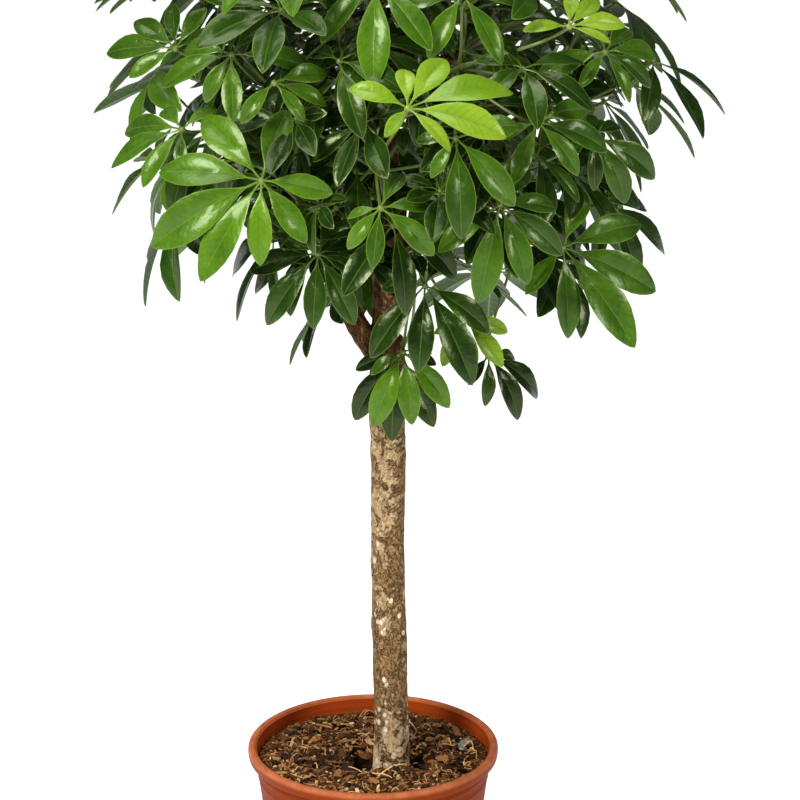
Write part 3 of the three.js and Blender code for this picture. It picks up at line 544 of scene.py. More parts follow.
def shell_leaf(k, total, shell, reach):
    """Leaf on a shell of the crown, turned outwards and up, with its age, size and droop drawn."""
    outward = spread_direction(k, total, LEAF_LOWEST, shell)
    hub = CROWN + outward * shell * between(HUB_SPREAD, draw())
    if outward[2] < 0:
        hub[2] = CROWN[2] + (hub[2] - CROWN[2]) * UNDERSIDE_FLATTENING
    tilt = np.array([draw() - 0.5, draw() - 0.5, 0])
    upward = FACE_UP + FACE_UP_BELOW * max(0, -outward[2])
    normal = unit(outward * FACE_OUT + UP * upward + tilt * FACE_RANDOM)
    chance = draw()
    age = YOUNG if chance < YOUNG_SHARE else int(chance < GROWN_SHARE)
    count = math.floor(between(LEAFLET_COUNTS, draw()))
    long = reach * between(REACH_SPREAD, draw()) * (YOUNG_REACH if age == YOUNG else 1)
    droop = between(DROOPS, draw())
    lift = between(LIFTS, draw())
    return Leaf(hub, normal, droop, age, lift, count=count, reach=long)


def draw_jitters():
    """Four draws for each leaflet: its turn, length, droop and roll."""
    return [[draw() for _ in range(4)] for _ in range(MOST_LEAFLETS)]


def fill_shells(shells, hubs, spacing, clearance, stalk_clearance):
    """Leaves that find room on shells of the crown, each with its shoot."""
    grown = []
    for total, shell, reach in shells:
        for k in range(total):
            leaf = shell_leaf(k, total, shell, reach)
            share = between(FIRST_SHARES, draw())
            jitters = draw_jitters()
            lowest = UNDERSIDE_HEIGHT + UNDERSIDE_SLOPE * (leaf.hub[0] - CROWN[0])
            crowded = any(math.dist(hub, leaf.hub) < spacing for hub in hubs)
            if leaf.hub[2] <= lowest or crowded:
                continue
            shoot = place_leaf(leaf, share, jitters, clearance, stalk_clearance)
            if shoot:
                hubs.append(leaf.hub)
                grown.append((shoot, leaf))
    return grown


print("first hub of the list", np.round(front_leaf(*FRONT_LEAVES[0]).hub), "mm")

# %% Growing the crown
hubs = []
for row in FRONT_LEAVES:
    leaf = front_leaf(*row)
    share = between(FIRST_SHARES, draw())
    shoot = place_leaf(leaf, share, draw_jitters(), BLADE_CLEARANCE, STALK_CLEARANCE)
    if shoot:
        hubs.append(leaf.hub)
        shoot.leaves.append(leaf)
for shoot, leaf in fill_shells(SHELLS, hubs, LEAF_SPACING, BLADE_CLEARANCE, STALK_CLEARANCE):
    shoot.leaves.append(leaf)

growing = [shoot for shoot in shoots if shoot.leaves]
leaflets = sum(len(leaf.blades) for shoot in growing for leaf in shoot.leaves)
print("leaves", len(hubs), "leaflets", leaflets)

# %% Check against the solids
worst = 0
for i, shoot in enumerate(growing):
    low, high = (np.array(corner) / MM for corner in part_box(f"shoot_{i + 1:02d}"))
    tips = np.array([blade.middle(1.0) for leaf in shoot.leaves for blade in leaf.blades])
    worst = max(worst, float(np.maximum(low - tips, tips - high).max()))
print("furthest that a leaflet's tip lies outside its own solid's box", round(worst, 3), "mm")

# %% [markdown]
# ## Leaves inside the crown
# Behind the leaves that show, a real crown holds older and shaded ones, and they are what
# makes its inside dark. They are too many for the solids, so they grow here alone, by the
# same rule, on smaller shells and closer together, wherever the plan still has room. One
# more leaf is listed, behind the fork, where the photograph shows the limbs against it.

# %% Inner leaves
INNER_SHELLS = [(90, 205, 84), (80, 160, 78), (60, 115, 66)]
INNER_SPACING, INNER_CLEARANCE, INNER_STALK_CLEARANCE = 44, 3.2, 3.0
EVEN_JITTERS = [[0.5] * 4] * MOST_LEAFLETS

fork_leaf = Leaf(np.array([-8.0, 62.0, 752.0]), unit(np.array([0, -1, 0.1])), 12, 0, LIFT,
                 [(-66, 56), (-36, 74), (-10, 84), (12, 80), (36, 70)])
place_leaf(fork_leaf, 0.5, EVEN_JITTERS, INNER_CLEARANCE, INNER_STALK_CLEARANCE)
hubs.append(fork_leaf.hub)
inner = fill_shells(INNER_SHELLS, hubs, INNER_SPACING, INNER_CLEARANCE, INNER_STALK_CLEARANCE)
inner_leaves = [fork_leaf] + [leaf for _, leaf in inner]
print("leaves inside the crown", len(inner_leaves))

# %% [markdown]
# ## From numbers to pieces
# Every new surface below is a grid of points worked out with numpy, and one small collector
# turns grids into a mesh. It also keeps two notes for each point, which the leaf material
# reads: where on its blade the point lies, and how young and how varied its leaf is.


# %% Collector of grids
class Grids:
    """Grids of points in millimetres, with faces, a material slot for each and two notes a point."""

    def __init__(self):
        self.points, self.faces, self.slots = [], [], []
        self.notes = {"blade_mm": [], "leaf_tone": []}
        self.count = 0

    def add(self, points, faces, slot=0, blade_mm=(0, 0, 0), leaf_tone=(0, 0, 0)):
        """Adds points with their notes, and arrays of faces that count from the first of them."""
        for corners in faces:
            self.faces += (np.asarray(corners) + self.count).tolist()
            self.slots += [slot] * len(corners)
        size = len(points)
        self.points.append(points)
        self.notes["blade_mm"].append(np.broadcast_to(blade_mm, (size, 3)))
        self.notes["leaf_tone"].append(np.broadcast_to(leaf_tone, (size, 3)))
        self.count += size

    def add_pipe(self, path, radii, sides, slot=0, **notes):
        """A closed pipe of the given radii along a path."""
        rings = pipe_points(path, radii, sides)
        self.add(rings.reshape(-1, 3), pipe_faces(len(rings), sides), slot, **notes)

    def piece(self, name, materials, sharp=50):
        """One object from all grids, smooth but for edges that turn more than the sharp angle."""
        mesh = bpy.data.meshes.new(name)
        points = np.concatenate(self.points) * MM
        mesh.from_pydata(points.tolist(), [], self.faces)
        for note, values in self.notes.items():
            layer = mesh.attributes.new(note, "FLOAT_VECTOR", "POINT")
            layer.data.foreach_set("vector", np.concatenate(values).astype(np.float32).ravel())
        mesh.polygons.foreach_set("material_index", self.slots)
        mesh.polygons.foreach_set("use_smooth", [True] * len(self.faces))
        mesh.update()
        mesh.set_sharp_from_angle(angle=math.radians(sharp))
        for material in materials:
            mesh.materials.append(material)
        return new_object(name, mesh)


print("notes on each point", list(Grids().notes))


# %% Pipes
SIDEWAYS = np.array([0.31, 0.94, 0.12])


def circle(steps):
    """Cosine and sine of even steps round a circle."""
    turns = 2 * np.pi * np.arange(steps) / steps
    return np.cos(turns), np.sin(turns)


def grid_faces(rows, columns, wrap=False):
    """Faces between neighbouring rows and columns; wrap joins the last column to the first."""
    start = np.arange(rows - 1)[:, None] * columns
    here = np.arange(columns if wrap else columns - 1)
    after = (here + 1) % columns
    next_row = start + columns
    return np.stack([start + here, start + after, next_row + after, next_row + here], -1).reshape(-1, 4)


def pipe_points(path, radii, sides):
    """Rings of points at right angles to a path: each ring is a circle of the local radius."""
    along = unit(np.gradient(path, axis=0))
    lean = SIDEWAYS if abs(along[:, 2]).mean() > 0.7 else UP
    first = unit(np.cross(along, lean))
    second = np.cross(along, first)
    cosines, sines = circle(sides)
    ring = first[:, None] * cosines[:, None] + second[:, None] * sines[:, None]
    return path[:, None] + ring * np.reshape(radii, (-1, 1, 1))


def pipe_faces(rings, sides):
    """The grid round a pipe, and a flat cap at each end."""
    caps = np.array([np.arange(sides)[::-1], (rings - 1) * sides + np.arange(sides)])
    return [grid_faces(rings, sides, wrap=True), caps]


def test_volume():
    """Volume that a straight test pipe encloses: positive where its faces point outwards."""
    test = Grids()
    test.add_pipe(np.array([[0, 0, 0], [0, 0, 5.0], [0, 0, 10.0]]), np.ones(3), 12)
    made = test.piece("test", [])
    shape = bmesh.new()
    shape.from_mesh(made.data)
    volume = shape.calc_volume(signed=True) / MM ** 3
    shape.free()
    bpy.data.objects.remove(made)
    return volume


print("volume of the test pipe", round(test_volume(), 2), "mm3")

# %% [markdown]
# ## Materials as recipes
# Each finish is a node tree on Blender's Principled shader. The two small classes below let a
# finish read like a recipe: each call adds one node, and what it hands back can stand in a
# formula, where each sign adds one Math node. Patterns read Object coordinates, or the notes.


# %% Recipe helper
class Signal:
    """What a node hands on, for use in formulas and as another node's input."""

    def __init__(self, recipe, socket):
        self.recipe, self.socket = recipe, socket

    def __add__(self, other):
        return self.recipe.maths("ADD", self, other)

    def __sub__(self, other):
        return self.recipe.maths("SUBTRACT", self, other)

    def __rsub__(self, other):
        return self.recipe.maths("SUBTRACT", other, self)

    def __mul__(self, other):
        return self.recipe.maths("MULTIPLY", self, other)

    def __truediv__(self, other):
        return self.recipe.maths("DIVIDE", self, other)

    def __abs__(self):
        return self.recipe.maths("ABSOLUTE", self)


class Recipe:
    """A material whose nodes are added one call at a time."""

    def __init__(self, name):
        self.material = bpy.data.materials.new(name)
        self.material.use_nodes = True
        self.tree = self.material.node_tree
        self.shader = self.tree.nodes["Principled BSDF"]

    def put(self, socket, value):
        """A signal is linked to the socket; a number or a colour is set on it."""
        if isinstance(value, Signal):
            self.tree.links.new(value.socket, socket)
        elif isinstance(value, tuple) and len(socket.default_value) == 4:
            socket.default_value = (*value, 1)
        else:
            socket.default_value = value

    def node(self, kind, inputs=(), output=0, **settings):
        """A new node with these settings and inputs; one of its outputs is handed back."""
        made = self.tree.nodes.new("ShaderNode" + kind)
        for key, value in settings.items():
            setattr(made, key, value)
        for socket, value in dict(inputs).items():
            self.put(made.inputs[socket], value)
        return Signal(self, made.outputs[output])

    def maths(self, operation, *values):
        """A Math node that works one operation out."""
        return self.node("Math", enumerate(values), operation=operation)

    def band(self, value, low, high):
        """0 below low, 1 above high, eased between; low may be the greater one."""
        inputs = {"Value": value, "From Min": low, "From Max": high}
        return self.node("MapRange", inputs, interpolation_type="SMOOTHSTEP", clamp=True)

    def note(self, name, axis=None):
        """A note that the mesh carries, or one of its three numbers."""
        vector = self.node("Attribute", attribute_name=name, output="Vector")
        return vector if axis is None else self.node("SeparateXYZ", {0: vector}, output=axis)

    def place(self, stretch=(1, 1, 1)):
        """Object coordinates, stretched: a smaller number draws the pattern out along that axis."""
        coordinates = self.node("TexCoord", output="Object")
        return self.node("Mapping", {"Vector": coordinates, "Scale": stretch})

    def mm(self, axis):
        """One Object coordinate in millimetres."""
        coordinates = self.node("TexCoord", output="Object")
        return self.node("SeparateXYZ", {0: coordinates}, output=axis) * (1 / MM)

    def noise(self, vector, scale, detail=3.0, roughness=0.55, distortion=0.0):
        """Cloudy noise: more detail adds finer clouds, and roughness makes those stronger."""
        inputs = {"Vector": vector, "Scale": scale, "Detail": detail, "Roughness": roughness,
                  "Distortion": distortion}
        return self.node("TexNoise", inputs)

    def cells(self, vector, scale):
        """Distance to the nearest of the points strewn one to a cell."""
        return self.node("TexVoronoi", {"Vector": vector, "Scale": scale}, output="Distance")

    def cell_draw(self, vector, scale, channel=0):
        """A number between 0 and 1 that is drawn for each whole cell."""
        colour = self.node("TexVoronoi", {"Vector": vector, "Scale": scale}, output="Color")
        return self.node("SeparateColor", {0: colour}, output=channel)

    def blend(self, share, first, second):
        """The first colour, with a share of the second laid over it."""
        made = self.tree.nodes.new("ShaderNodeMix")
        made.data_type = "RGBA"
        colours = [socket for socket in made.inputs if socket.type == "RGBA"]
        for socket, value in zip([made.inputs[0], *colours], [share, first, second]):
            self.put(socket, value)
        return Signal(self, next(socket for socket in made.outputs if socket.type == "RGBA"))

    def ramp(self, value, *stops):
        """Colours between stops, each a position and a colour."""
        made = self.tree.nodes.new("ShaderNodeValToRGB")
        self.put(made.inputs[0], value)
        elements = made.color_ramp.elements
        while len(elements) < len(stops):
            elements.new(0.5)
        for element, (position, colour) in zip(elements, stops):
            element.position, element.color = position, (*colour, 1)
        return Signal(self, made.outputs[0])

    def finish(self, colour, roughness, height=None, depth_mm=0.5, **sockets):
        """Sets the shader: colour, roughness, a bump of the given depth, and constants by name."""
        self.put(self.shader.inputs["Base Color"], colour)
        self.put(self.shader.inputs["Roughness"], roughness)
        if height is not None:
            bump = self.node("Bump", {"Height": height, "Distance": depth_mm * MM, "Strength": 1.0})
            self.put(self.shader.inputs["Normal"], bump)
        for name, value in sockets.items():
            self.put(self.shader.inputs[name.replace("_", " ")], value)
        print("finish", self.material.name, "has", len(self.tree.nodes), "nodes")
        return self.material


# %% [markdown]
# ## Leaf finishes
# A leaflet is glossy above, with a pale midrib, a thin pale margin and faint side veins that
# run forward from the midrib. Old leaves are dark green, grown ones mid green and young ones
# yellow-green. Below, the same blade is grey-green and dull. The colour follows the note
# of youth, so one finish serves every age and each leaf differs a little from the next.


# %% Leaf finishes
def vein_lines(recipe, across, along):
    """Thin lines every 7 mm that leave the midrib forwards, bent a little by noise."""
    bent = along - across * 0.85 + recipe.noise(recipe.place(), 160.0, 2.0) * 4.0
    wave = recipe.maths("PINGPONG", bent / 7.0, 0.5)
    return recipe.band(wave, 0.13, 0.02), wave


def leaf_top():
    """Flesh by youth and clouds; veins, rib and margin over it; a gloss that quilts with the veins."""
    recipe = Recipe("leaf_top")
    place = recipe.place()
    across, along, half = (recipe.note("blade_mm", axis) for axis in range(3))
    across = abs(across)
    youth, odd = recipe.note("leaf_tone", 0), recipe.note("leaf_tone", 1)
    lines, wave = vein_lines(recipe, across, along)
    rib = recipe.band(across / (half * 0.018 + 0.22), 1.35, 0.75)
    margin = recipe.band(half - across, 1.0, 0.4)
    cloud, mottle = recipe.noise(place, 30.0), recipe.noise(place, 190.0)
    shade = youth + (cloud - 0.5) * 0.42 + (mottle - 0.5) * 0.22 + (odd - 0.5) * 0.16
    flesh = recipe.ramp(
        shade, (0.0, (0.003, 0.013, 0.001)), (0.25, (0.017, 0.054, 0.002)),
        (0.5, (0.056, 0.140, 0.003)), (0.75, (0.118, 0.220, 0.006)), (1.0, (0.200, 0.298, 0.018)))
    vein = recipe.blend(0.5, flesh, (0.012, 0.040, 0.004))
    colour = recipe.blend(lines * 0.42, flesh, vein)
    colour = recipe.blend(margin * 0.42, colour, (0.19, 0.28, 0.03))
    colour = recipe.blend(rib * 0.36, colour, (0.14, 0.25, 0.02))
    rough = youth * 0.14 + 0.22 + recipe.noise(place, 70.0) * 0.12
    quilt = wave * recipe.band(across, 0.5, 3.0)
    height = quilt * 0.35 - rib * 0.8 + recipe.noise(place, 120.0) * 1.5
    height = height + recipe.noise(place, 420.0, 2.0) * 0.16
    return recipe.finish(colour, rough, height, 0.42, Coat_Weight=0.18, Coat_Roughness=0.13,
                         Specular_IOR_Level=0.32, Specular_Tint=(0.82, 1.0, 0.4))


def leaf_under():
    """Dull grey-green flesh with a raised pale rib and side veins."""
    recipe = Recipe("leaf_under")
    across, along = abs(recipe.note("blade_mm", 0)), recipe.note("blade_mm", 1)
    lines, _ = vein_lines(recipe, across, along)
    rib = recipe.band(across, 1.1, 0.5)
    flesh = recipe.ramp(recipe.note("leaf_tone", 0), (0.0, (0.045, 0.090, 0.028)),
                        (0.5, (0.075, 0.145, 0.034)), (1.0, (0.17, 0.27, 0.045)))
    colour = recipe.blend(lines * 0.3, flesh, (0.15, 0.23, 0.07))
    colour = recipe.blend(rib * 0.85, colour, (0.20, 0.29, 0.08))
    return recipe.finish(colour, 0.5, lines * 0.5 + rib, 0.3, Specular_IOR_Level=0.3)


def stalk_green():
    """Streaked green where the stem is fresh, light brown where the second note says it is woody."""
    recipe = Recipe("stalk_green")
    streaks = recipe.noise(recipe.place(), 90.0)
    fresh = recipe.ramp(streaks * 0.5 + recipe.note("leaf_tone", 0) * 0.6, (0.0, (0.050, 0.085, 0.010)),
                        (0.6, (0.120, 0.170, 0.026)), (1.0, (0.260, 0.270, 0.060)))
    woody = recipe.ramp(streaks, (0.2, (0.11, 0.085, 0.045)), (0.8, (0.27, 0.21, 0.12)))
    colour = recipe.blend(recipe.band(recipe.note("leaf_tone", 1), 0.25, 0.7), woody, fresh)
    return recipe.finish(colour, 0.42, streaks, 0.4)


LEAF_FINISHES = [leaf_top(), leaf_under(), stalk_green()]
print("leaf finishes", [finish.name for finish in LEAF_FINISHES])

# %% [markdown]
# ## Leaves
# A leaflet could be a flat card with a picture of a leaf. A real blade catches the light on
# its bulging halves and drooping tip, so each one here is a closed thin solid: an upper and a
# lower grid that meet at the rim. It follows the plan's arc, valley and roll, and adds the
# fine outline, the bulge of each half between midrib and rim, and a slight wave of the rim.

# %% Leaflet grids
ROW_T = np.array([0.02, 0.09, 0.14, 0.20, 0.28, 0.38, 0.50, 0.62, 0.74, 0.84, 0.915, 0.965])
COLUMN_SIDE = np.array([-1.0, -0.5, 0.0, 0.5, 1.0])
GRID_SHAPE = (len(ROW_T), len(COLUMN_SIDE))
FINE_FOOT, FINE_HALF_WIDTH, STEMLET_HALF_MM = 0.12, 0.178, 1.05
STEMLET_THICK_MM, RIB_THICK_MM = 1.9, 0.9
BULGE, RIM_WAVE, WAVES_ALONG = 0.13, 0.06, 9.4


def fine_half(t, reach):
    """Half width in millimetres: a thin stemlet, then a sine arch that is widest past its middle."""
    along = np.clip((t - FINE_FOOT) / (1 - FINE_FOOT), 0, 1)
    arch = np.sin(np.pi * along ** 1.28) ** (0.94 - 0.26 * along) * (1 - 0.1 * along ** 8)
    return np.maximum(FINE_HALF_WIDTH * reach * arch, STEMLET_HALF_MM * (1 - along))


def blade_topology():
    """Faces of the upper grid, and of the lower one that shares its rims, with fans and a cap."""
    rows, columns = GRID_SHAPE
    upper = np.arange(rows * columns).reshape(rows, columns)
    lower = upper.copy()
    lower[:, 1:-1] = rows * columns + np.arange(rows * (columns - 2)).reshape(rows, columns - 2)
    tip = rows * columns + rows * (columns - 2)
    over = np.stack([upper[:-1, :-1], upper[:-1, 1:], upper[1:, 1:], upper[1:, :-1]], -1).reshape(-1, 4)
    under = np.stack([lower[:-1, :-1], lower[1:, :-1], lower[1:, 1:], lower[:-1, 1:]], -1).reshape(-1, 4)
    tips = np.full(columns - 1, tip)
    over_tip = np.stack([upper[-1, :-1], upper[-1, 1:], tips], -1)
    under_tip = np.stack([lower[-1, 1:], lower[-1, :-1], tips], -1)
    cap = np.concatenate([upper[0, ::-1], lower[0, 1:-1]])[None]
    return [over, over_tip], [under, under_tip, cap]


OVER, UNDER = blade_topology()


def add_blade(grids, blade, youth, odd, wave_start):
    """The plan's edge formula plus bulge, rim wave and thickness along the normal, above and below."""
    t, side = ROW_T[:, None], COLUMN_SIDE[None, :]
    half = fine_half(t, blade.reach)
    body = np.clip((t - FINE_FOOT) / 0.2, 0, 1)
    whole_t = np.broadcast_to(t, GRID_SHAPE)
    middle = blade.edge(whole_t, np.sign(side), half / blade.reach * np.abs(side))
    wave = np.sin(WAVES_ALONG * t + wave_start + side)
    lift = BULGE * np.sin(np.pi * np.abs(side)) + RIM_WAVE * side ** 2 * wave
    normal = blade.normal_at(t)
    middle = middle + normal * (lift * half * body)[..., None]
    thick = (STEMLET_THICK_MM + (RIB_THICK_MM - STEMLET_THICK_MM) * body) * (1 - side ** 2) / 2
    upper = middle + normal * thick[..., None]
    lower = (middle - normal * thick[..., None])[:, 1:-1]
    points = np.concatenate([upper.reshape(-1, 3), lower.reshape(-1, 3), blade.middle(1.0)[None]])
    note = np.stack([half * side, whole_t * blade.reach, np.broadcast_to(half, GRID_SHAPE)], -1)
    notes = np.concatenate([note.reshape(-1, 3), note[:, 1:-1].reshape(-1, 3), [[0, blade.reach, 0.1]]])
    start = grids.count
    grids.add(points, OVER, 0, notes, (youth, odd, 0))
    for corners in UNDER:
        grids.faces += (corners + start).tolist()
        grids.slots += [1] * len(corners)


print("faces a leaflet", sum(len(part) for part in OVER + UNDER))

# %% [markdown]
# ## Stalks, hubs and stems
# Each leaf hangs on a long thin stalk that swells a little where it leaves the stem and where
# it meets the leaflets. The leaflets' stemlets all leave one small knob. The stem is green
# where it is young, at its tip, and turns woody towards the limb.

# %% Shoots as pieces
STALK_RINGS, STALK_SIDES, STALK_HALF_MM = 12, 6, 1.5
KNOB_RADIUS_MM, KNOB_HALF_MM, KNOB_SINK_MM, KNOB_SIDES = 3.4, 3.0, 0.4, 8
STEM_RINGS, STEM_SIDES = 22, 10


def add_stalk(grids, leaf, youth):
    """A pipe along the stalk's curve, thicker at both ends, and a low dome for the hub's knob."""
    t = np.linspace(0, 1, STALK_RINGS)
    swell = 1 + 0.55 * np.exp(-t * 18) + 0.45 * np.exp(-(1 - t) * 16)
    radii = STALK_HALF_MM * swell * (1.1 - 0.15 * t)
    grids.add_pipe(leaf.stalk.at(t), radii, STALK_SIDES, 2, leaf_tone=(youth, 1, 0))
    rise = np.array([-1.0, -0.45, 0.25, 0.8, 1.0]) * KNOB_HALF_MM
    radii = np.array([0.45, 0.95, 0.95, 0.55, 0.12]) * KNOB_RADIUS_MM
    knob = leaf.hub - leaf.normal * KNOB_SINK_MM + leaf.normal * rise[:, None]
    grids.add_pipe(knob, radii, KNOB_SIDES, 2, leaf_tone=(min(1, youth + 0.3), 1, 0))


def add_stem(grids, shoot):
    """The leafy part of the shoot: a pipe with a low node ring wherever a stalk leaves it."""
    t = np.linspace(1 - SHOOT_SHARE + 0.004, 1, STEM_RINGS)
    feet = np.array([leaf.stalk.foot for leaf in shoot.leaves])
    path = shoot.way(t)
    near = np.sqrt(((path[:, None] - feet[None]) ** 2).sum(-1)).min(1)
    along = (t - t[0]) / (1 - t[0])
    radii = STEM_RADIUS * (1 - 0.32 * along) * (0.9 + 0.16 * np.exp(-(near / 5) ** 2))
    radii[-1] *= 0.35
    green = np.repeat(along, STEM_SIDES)
    tone = np.stack([0.3 + 0 * green, green, 0 * green], -1)
    grids.add_pipe(path, radii, STEM_SIDES, 2, leaf_tone=tone)


def add_blades(grids, leaf, youth, spread):
    """All leaflets of a leaf: each draws how odd it is, which shifts its youth by the spread."""
    for blade in leaf.blades:
        odd = float(variety.random())
        add_blade(grids, blade, youth + spread * (odd - 0.5), odd, float(variety.uniform(0, 6.3)))


VARIETY_SEED = 11
variety = np.random.default_rng(VARIETY_SEED)
YOUTH_OF_AGE = [(0.08, 0.38), (0.22, 0.44), (0.66, 0.90)]
LEAFLET_VARIETY = 0.08
OLD_SHADED_TOP, OLD_SHADED_BAND, OLD_SHADED_SHARE = 866, 90, 0.88


def youth_of(leaf):
    """Youth drawn for the leaf's age; among the old leaves, the lowest are darkest, partly as the oldest
    and partly as painted shade under the crown.
    """
    youth = float(variety.uniform(*YOUTH_OF_AGE[leaf.age]))
    if leaf.age == 0:
        # Low old leaves grow darker towards the bottom: partly age, partly painted shade under the
        # crown.
        youth *= 1 - OLD_SHADED_SHARE * float(np.clip((OLD_SHADED_TOP - leaf.hub[2]) / OLD_SHADED_BAND, 0, 1))
    return youth


for i, shoot in enumerate(growing):
    grids = Grids()
    add_stem(grids, shoot)
    for leaf in shoot.leaves:
        youth = youth_of(leaf)
        add_stalk(grids, leaf, youth)
        add_blades(grids, leaf, youth, LEAFLET_VARIETY)
    piece = grids.piece(f"leafy_shoot_{i + 1:02d}", LEAF_FINISHES)
    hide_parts(f"shoot_{i + 1:02d}")
    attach(piece, "root")
print("leafy shoots", len(growing), "faces in the last", len(piece.data.polygons))

# %% [markdown]
# The inner leaves could be one piece, but they would pass 200,000 triangles, and past that the
# piece's mesh file is thinned. The inner leaves would pass 200,000 triangles as one piece, so
# those in front of the crown's middle and those behind it are two pieces. Most are old and
# dark, their darkest tone partly painted shade; low at the front, where light comes in, they
# get a fresher tone: painted light.

# %% Inner leaves as two pieces
INNER_OLD_SHADED_YOUTH, LIT_FRONT_YOUTH = (0.0, 0.2), 0.45
LIT_FRONT_Y, LIT_FRONT_TOP = -50, 750
halves = {"inner_leaves_front": Grids(), "inner_leaves_back": Grids()}
for leaf in inner_leaves:
    # Painted light: low at the front, where light comes in, inner leaves get a fresher, brighter tone;
    # the rest keep the darkest tone, partly painted shade.
    is_lit_front = leaf.hub[1] < LIT_FRONT_Y and leaf.hub[2] < LIT_FRONT_TOP
    youth = float(variety.uniform(*INNER_OLD_SHADED_YOUTH)) + (LIT_FRONT_YOUTH if is_lit_front else 0)
    grids = halves["inner_leaves_front" if leaf.hub[1] < CROWN[1] else "inner_leaves_back"]
    add_stalk(grids, leaf, youth)
    add_blades(grids, leaf, youth, 0)
for name, grids in halves.items():
    piece = grids.piece(name, LEAF_FINISHES)
    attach(piece, "root")
    print("faces of", name, len(piece.data.polygons))

# %% [markdown]
# ## Bark
# The bark is thin and mottled: brown, with tan and beige patches where it has peeled, dark
# cracks and pores, a few pinkish scars, and cream lichen low down. The foot is paler, partly a
# pale peeled patch and partly painted light; the right side is browner as painted shade; and the
# limbs are red-brown, flaky and darkened by painted shade. All of it is noise and cells on Object
# coordinates, and the grain is drawn out along the trunk.


# %% Bark finish
def peeling(recipe, broad, height_mm):
    """How far the bark has peeled: most at the foot, partly as painted light, and least on the right, as
    painted shade; and the palest bark.
    """
    # The foot is paler, partly a pale peeled patch and partly painted light; the right side peels less
    # and is browner, which is painted shade.
    foot = recipe.band(height_mm, 240.0, 222.0)
    right = recipe.band(recipe.mm(0), 12.0, 30.0) * recipe.band(height_mm, 240.0, 480.0)
    peeled = broad + recipe.band(height_mm, 370.0, 430.0) * 0.024 - 0.018
    peeled = peeled + foot * 0.075 - right * 0.075
    return peeled, foot * recipe.band(peeled, 0.50, 0.57)


def dark_marks(recipe, place, peeled, patch, pale_and_lit_foot):
    """A line round each patch, cracks that wind and are fainter on a patch, and pores in groups."""
    edge = recipe.band(abs(peeled - 0.487), 0.012, 0.003)
    winding = recipe.noise(place, 120.0, 4.0, 0.6, 1.6)
    crack = recipe.band(abs(winding - 0.5), 0.03, 0.006)
    crack = crack * (0.85 - patch * 0.55) * (1.0 - pale_and_lit_foot * 0.6)
    pore = recipe.band(recipe.cells(place, 240.0), 0.2, 0.1)
    pore = pore * recipe.band(recipe.noise(place, 55.0, 2.0), 0.47, 0.56)
    return recipe.maths("MAXIMUM", recipe.maths("MAXIMUM", edge * 0.75, crack), pore)


def lichen_spots(recipe, place, fine, height_mm):
    """Ragged round spots low on the trunk, one in most cells of a colony."""
    spots = recipe.place((1, 1, 0.85))
    ragged = recipe.cells(spots, 125.0) + (fine - 0.5) * 0.5
    chosen = recipe.band(recipe.cell_draw(spots, 125.0), 0.3, 0.34)
    colony = recipe.band(recipe.noise(place, 30.0, 2.0), 0.45, 0.5)
    low = recipe.band(height_mm, 490.0, 400.0)
    return recipe.band(ragged, 0.42, 0.34) * chosen * colony * low


def scar_spots(recipe):
    """Small round scars, in some of a pattern's wide cells."""
    spots = recipe.place((1, 1, 1.2))
    chosen = recipe.band(recipe.cell_draw(spots, 44.0, 1), 0.6, 0.65)
    return recipe.band(recipe.cells(spots, 44.0), 0.13, 0.09) * chosen


def bark():
    """Brown under tan, then the pale foot, partly painted light, grain, dark marks, lichen and scars;
    red-brown limbs darkened by painted shade.
    """
    recipe = Recipe("bark")
    place, height_mm = recipe.place((1, 1, 0.8)), recipe.mm(2)
    fine = recipe.noise(place, 380.0, 4.0, 0.75)
    grain = recipe.noise(recipe.place((1, 1, 0.3)), 150.0, 4.0, 0.7, 0.5)
    broad = recipe.noise(place, 40.0, 8.0, 0.7, 0.9)
    peeled, pale_and_lit_foot = peeling(recipe, broad, height_mm)
    patch = recipe.band(peeled, 0.485, 0.53)
    brown = recipe.ramp(fine, (0.3, (0.096, 0.046, 0.012)), (0.5, (0.270, 0.154, 0.060)),
                        (0.72, (0.500, 0.328, 0.160)))
    tan = recipe.ramp(fine, (0.3, (0.260, 0.160, 0.072)), (0.48, (0.420, 0.278, 0.142)),
                      (0.68, (0.680, 0.495, 0.296)))
    pale_lit_foot_colour = recipe.ramp(fine, (0.35, (0.520, 0.340, 0.165)), (0.6, (0.860, 0.620, 0.360)))
    colour = recipe.blend(pale_and_lit_foot * 0.8, recipe.blend(patch, brown, tan), pale_lit_foot_colour)
    grainy = recipe.band(grain, 0.52, 0.36) * (0.5 - patch * 0.25)
    colour = recipe.blend(grainy, colour, (0.110, 0.056, 0.020))
    dark = dark_marks(recipe, place, peeled, patch, pale_and_lit_foot)
    colour = recipe.blend(dark, colour, (0.042, 0.018, 0.004))
    lichen = lichen_spots(recipe, place, fine, height_mm)
    cream = recipe.ramp(fine, (0.3, (0.620, 0.440, 0.240)), (0.55, (0.950, 0.780, 0.540)))
    colour = recipe.blend(lichen, colour, cream)
    colour = recipe.blend(scar_spots(recipe) * 0.8, colour, (0.360, 0.135, 0.060))
    # The limbs' flaky red-brown is darkened as painted shade under the crown.
    shaded_limb_flakes = recipe.ramp(grain * 0.6 + fine * 0.4, (0.38, (0.016, 0.007, 0.002)),
                         (0.5, (0.100, 0.043, 0.014)), (0.62, (0.340, 0.175, 0.070)))
    shaded_limb = recipe.band(height_mm + broad * 160.0, 655.0, 690.0)
    colour = recipe.blend(shaded_limb, colour, shaded_limb_flakes)
    relief = fine + patch * 0.5 + grain * 0.8 - dark + lichen * 0.4
    return recipe.finish(colour, 0.85, relief, 1.5, Specular_IOR_Level=0.1)


BARK = bark()
print("finish of the wood", BARK.name)

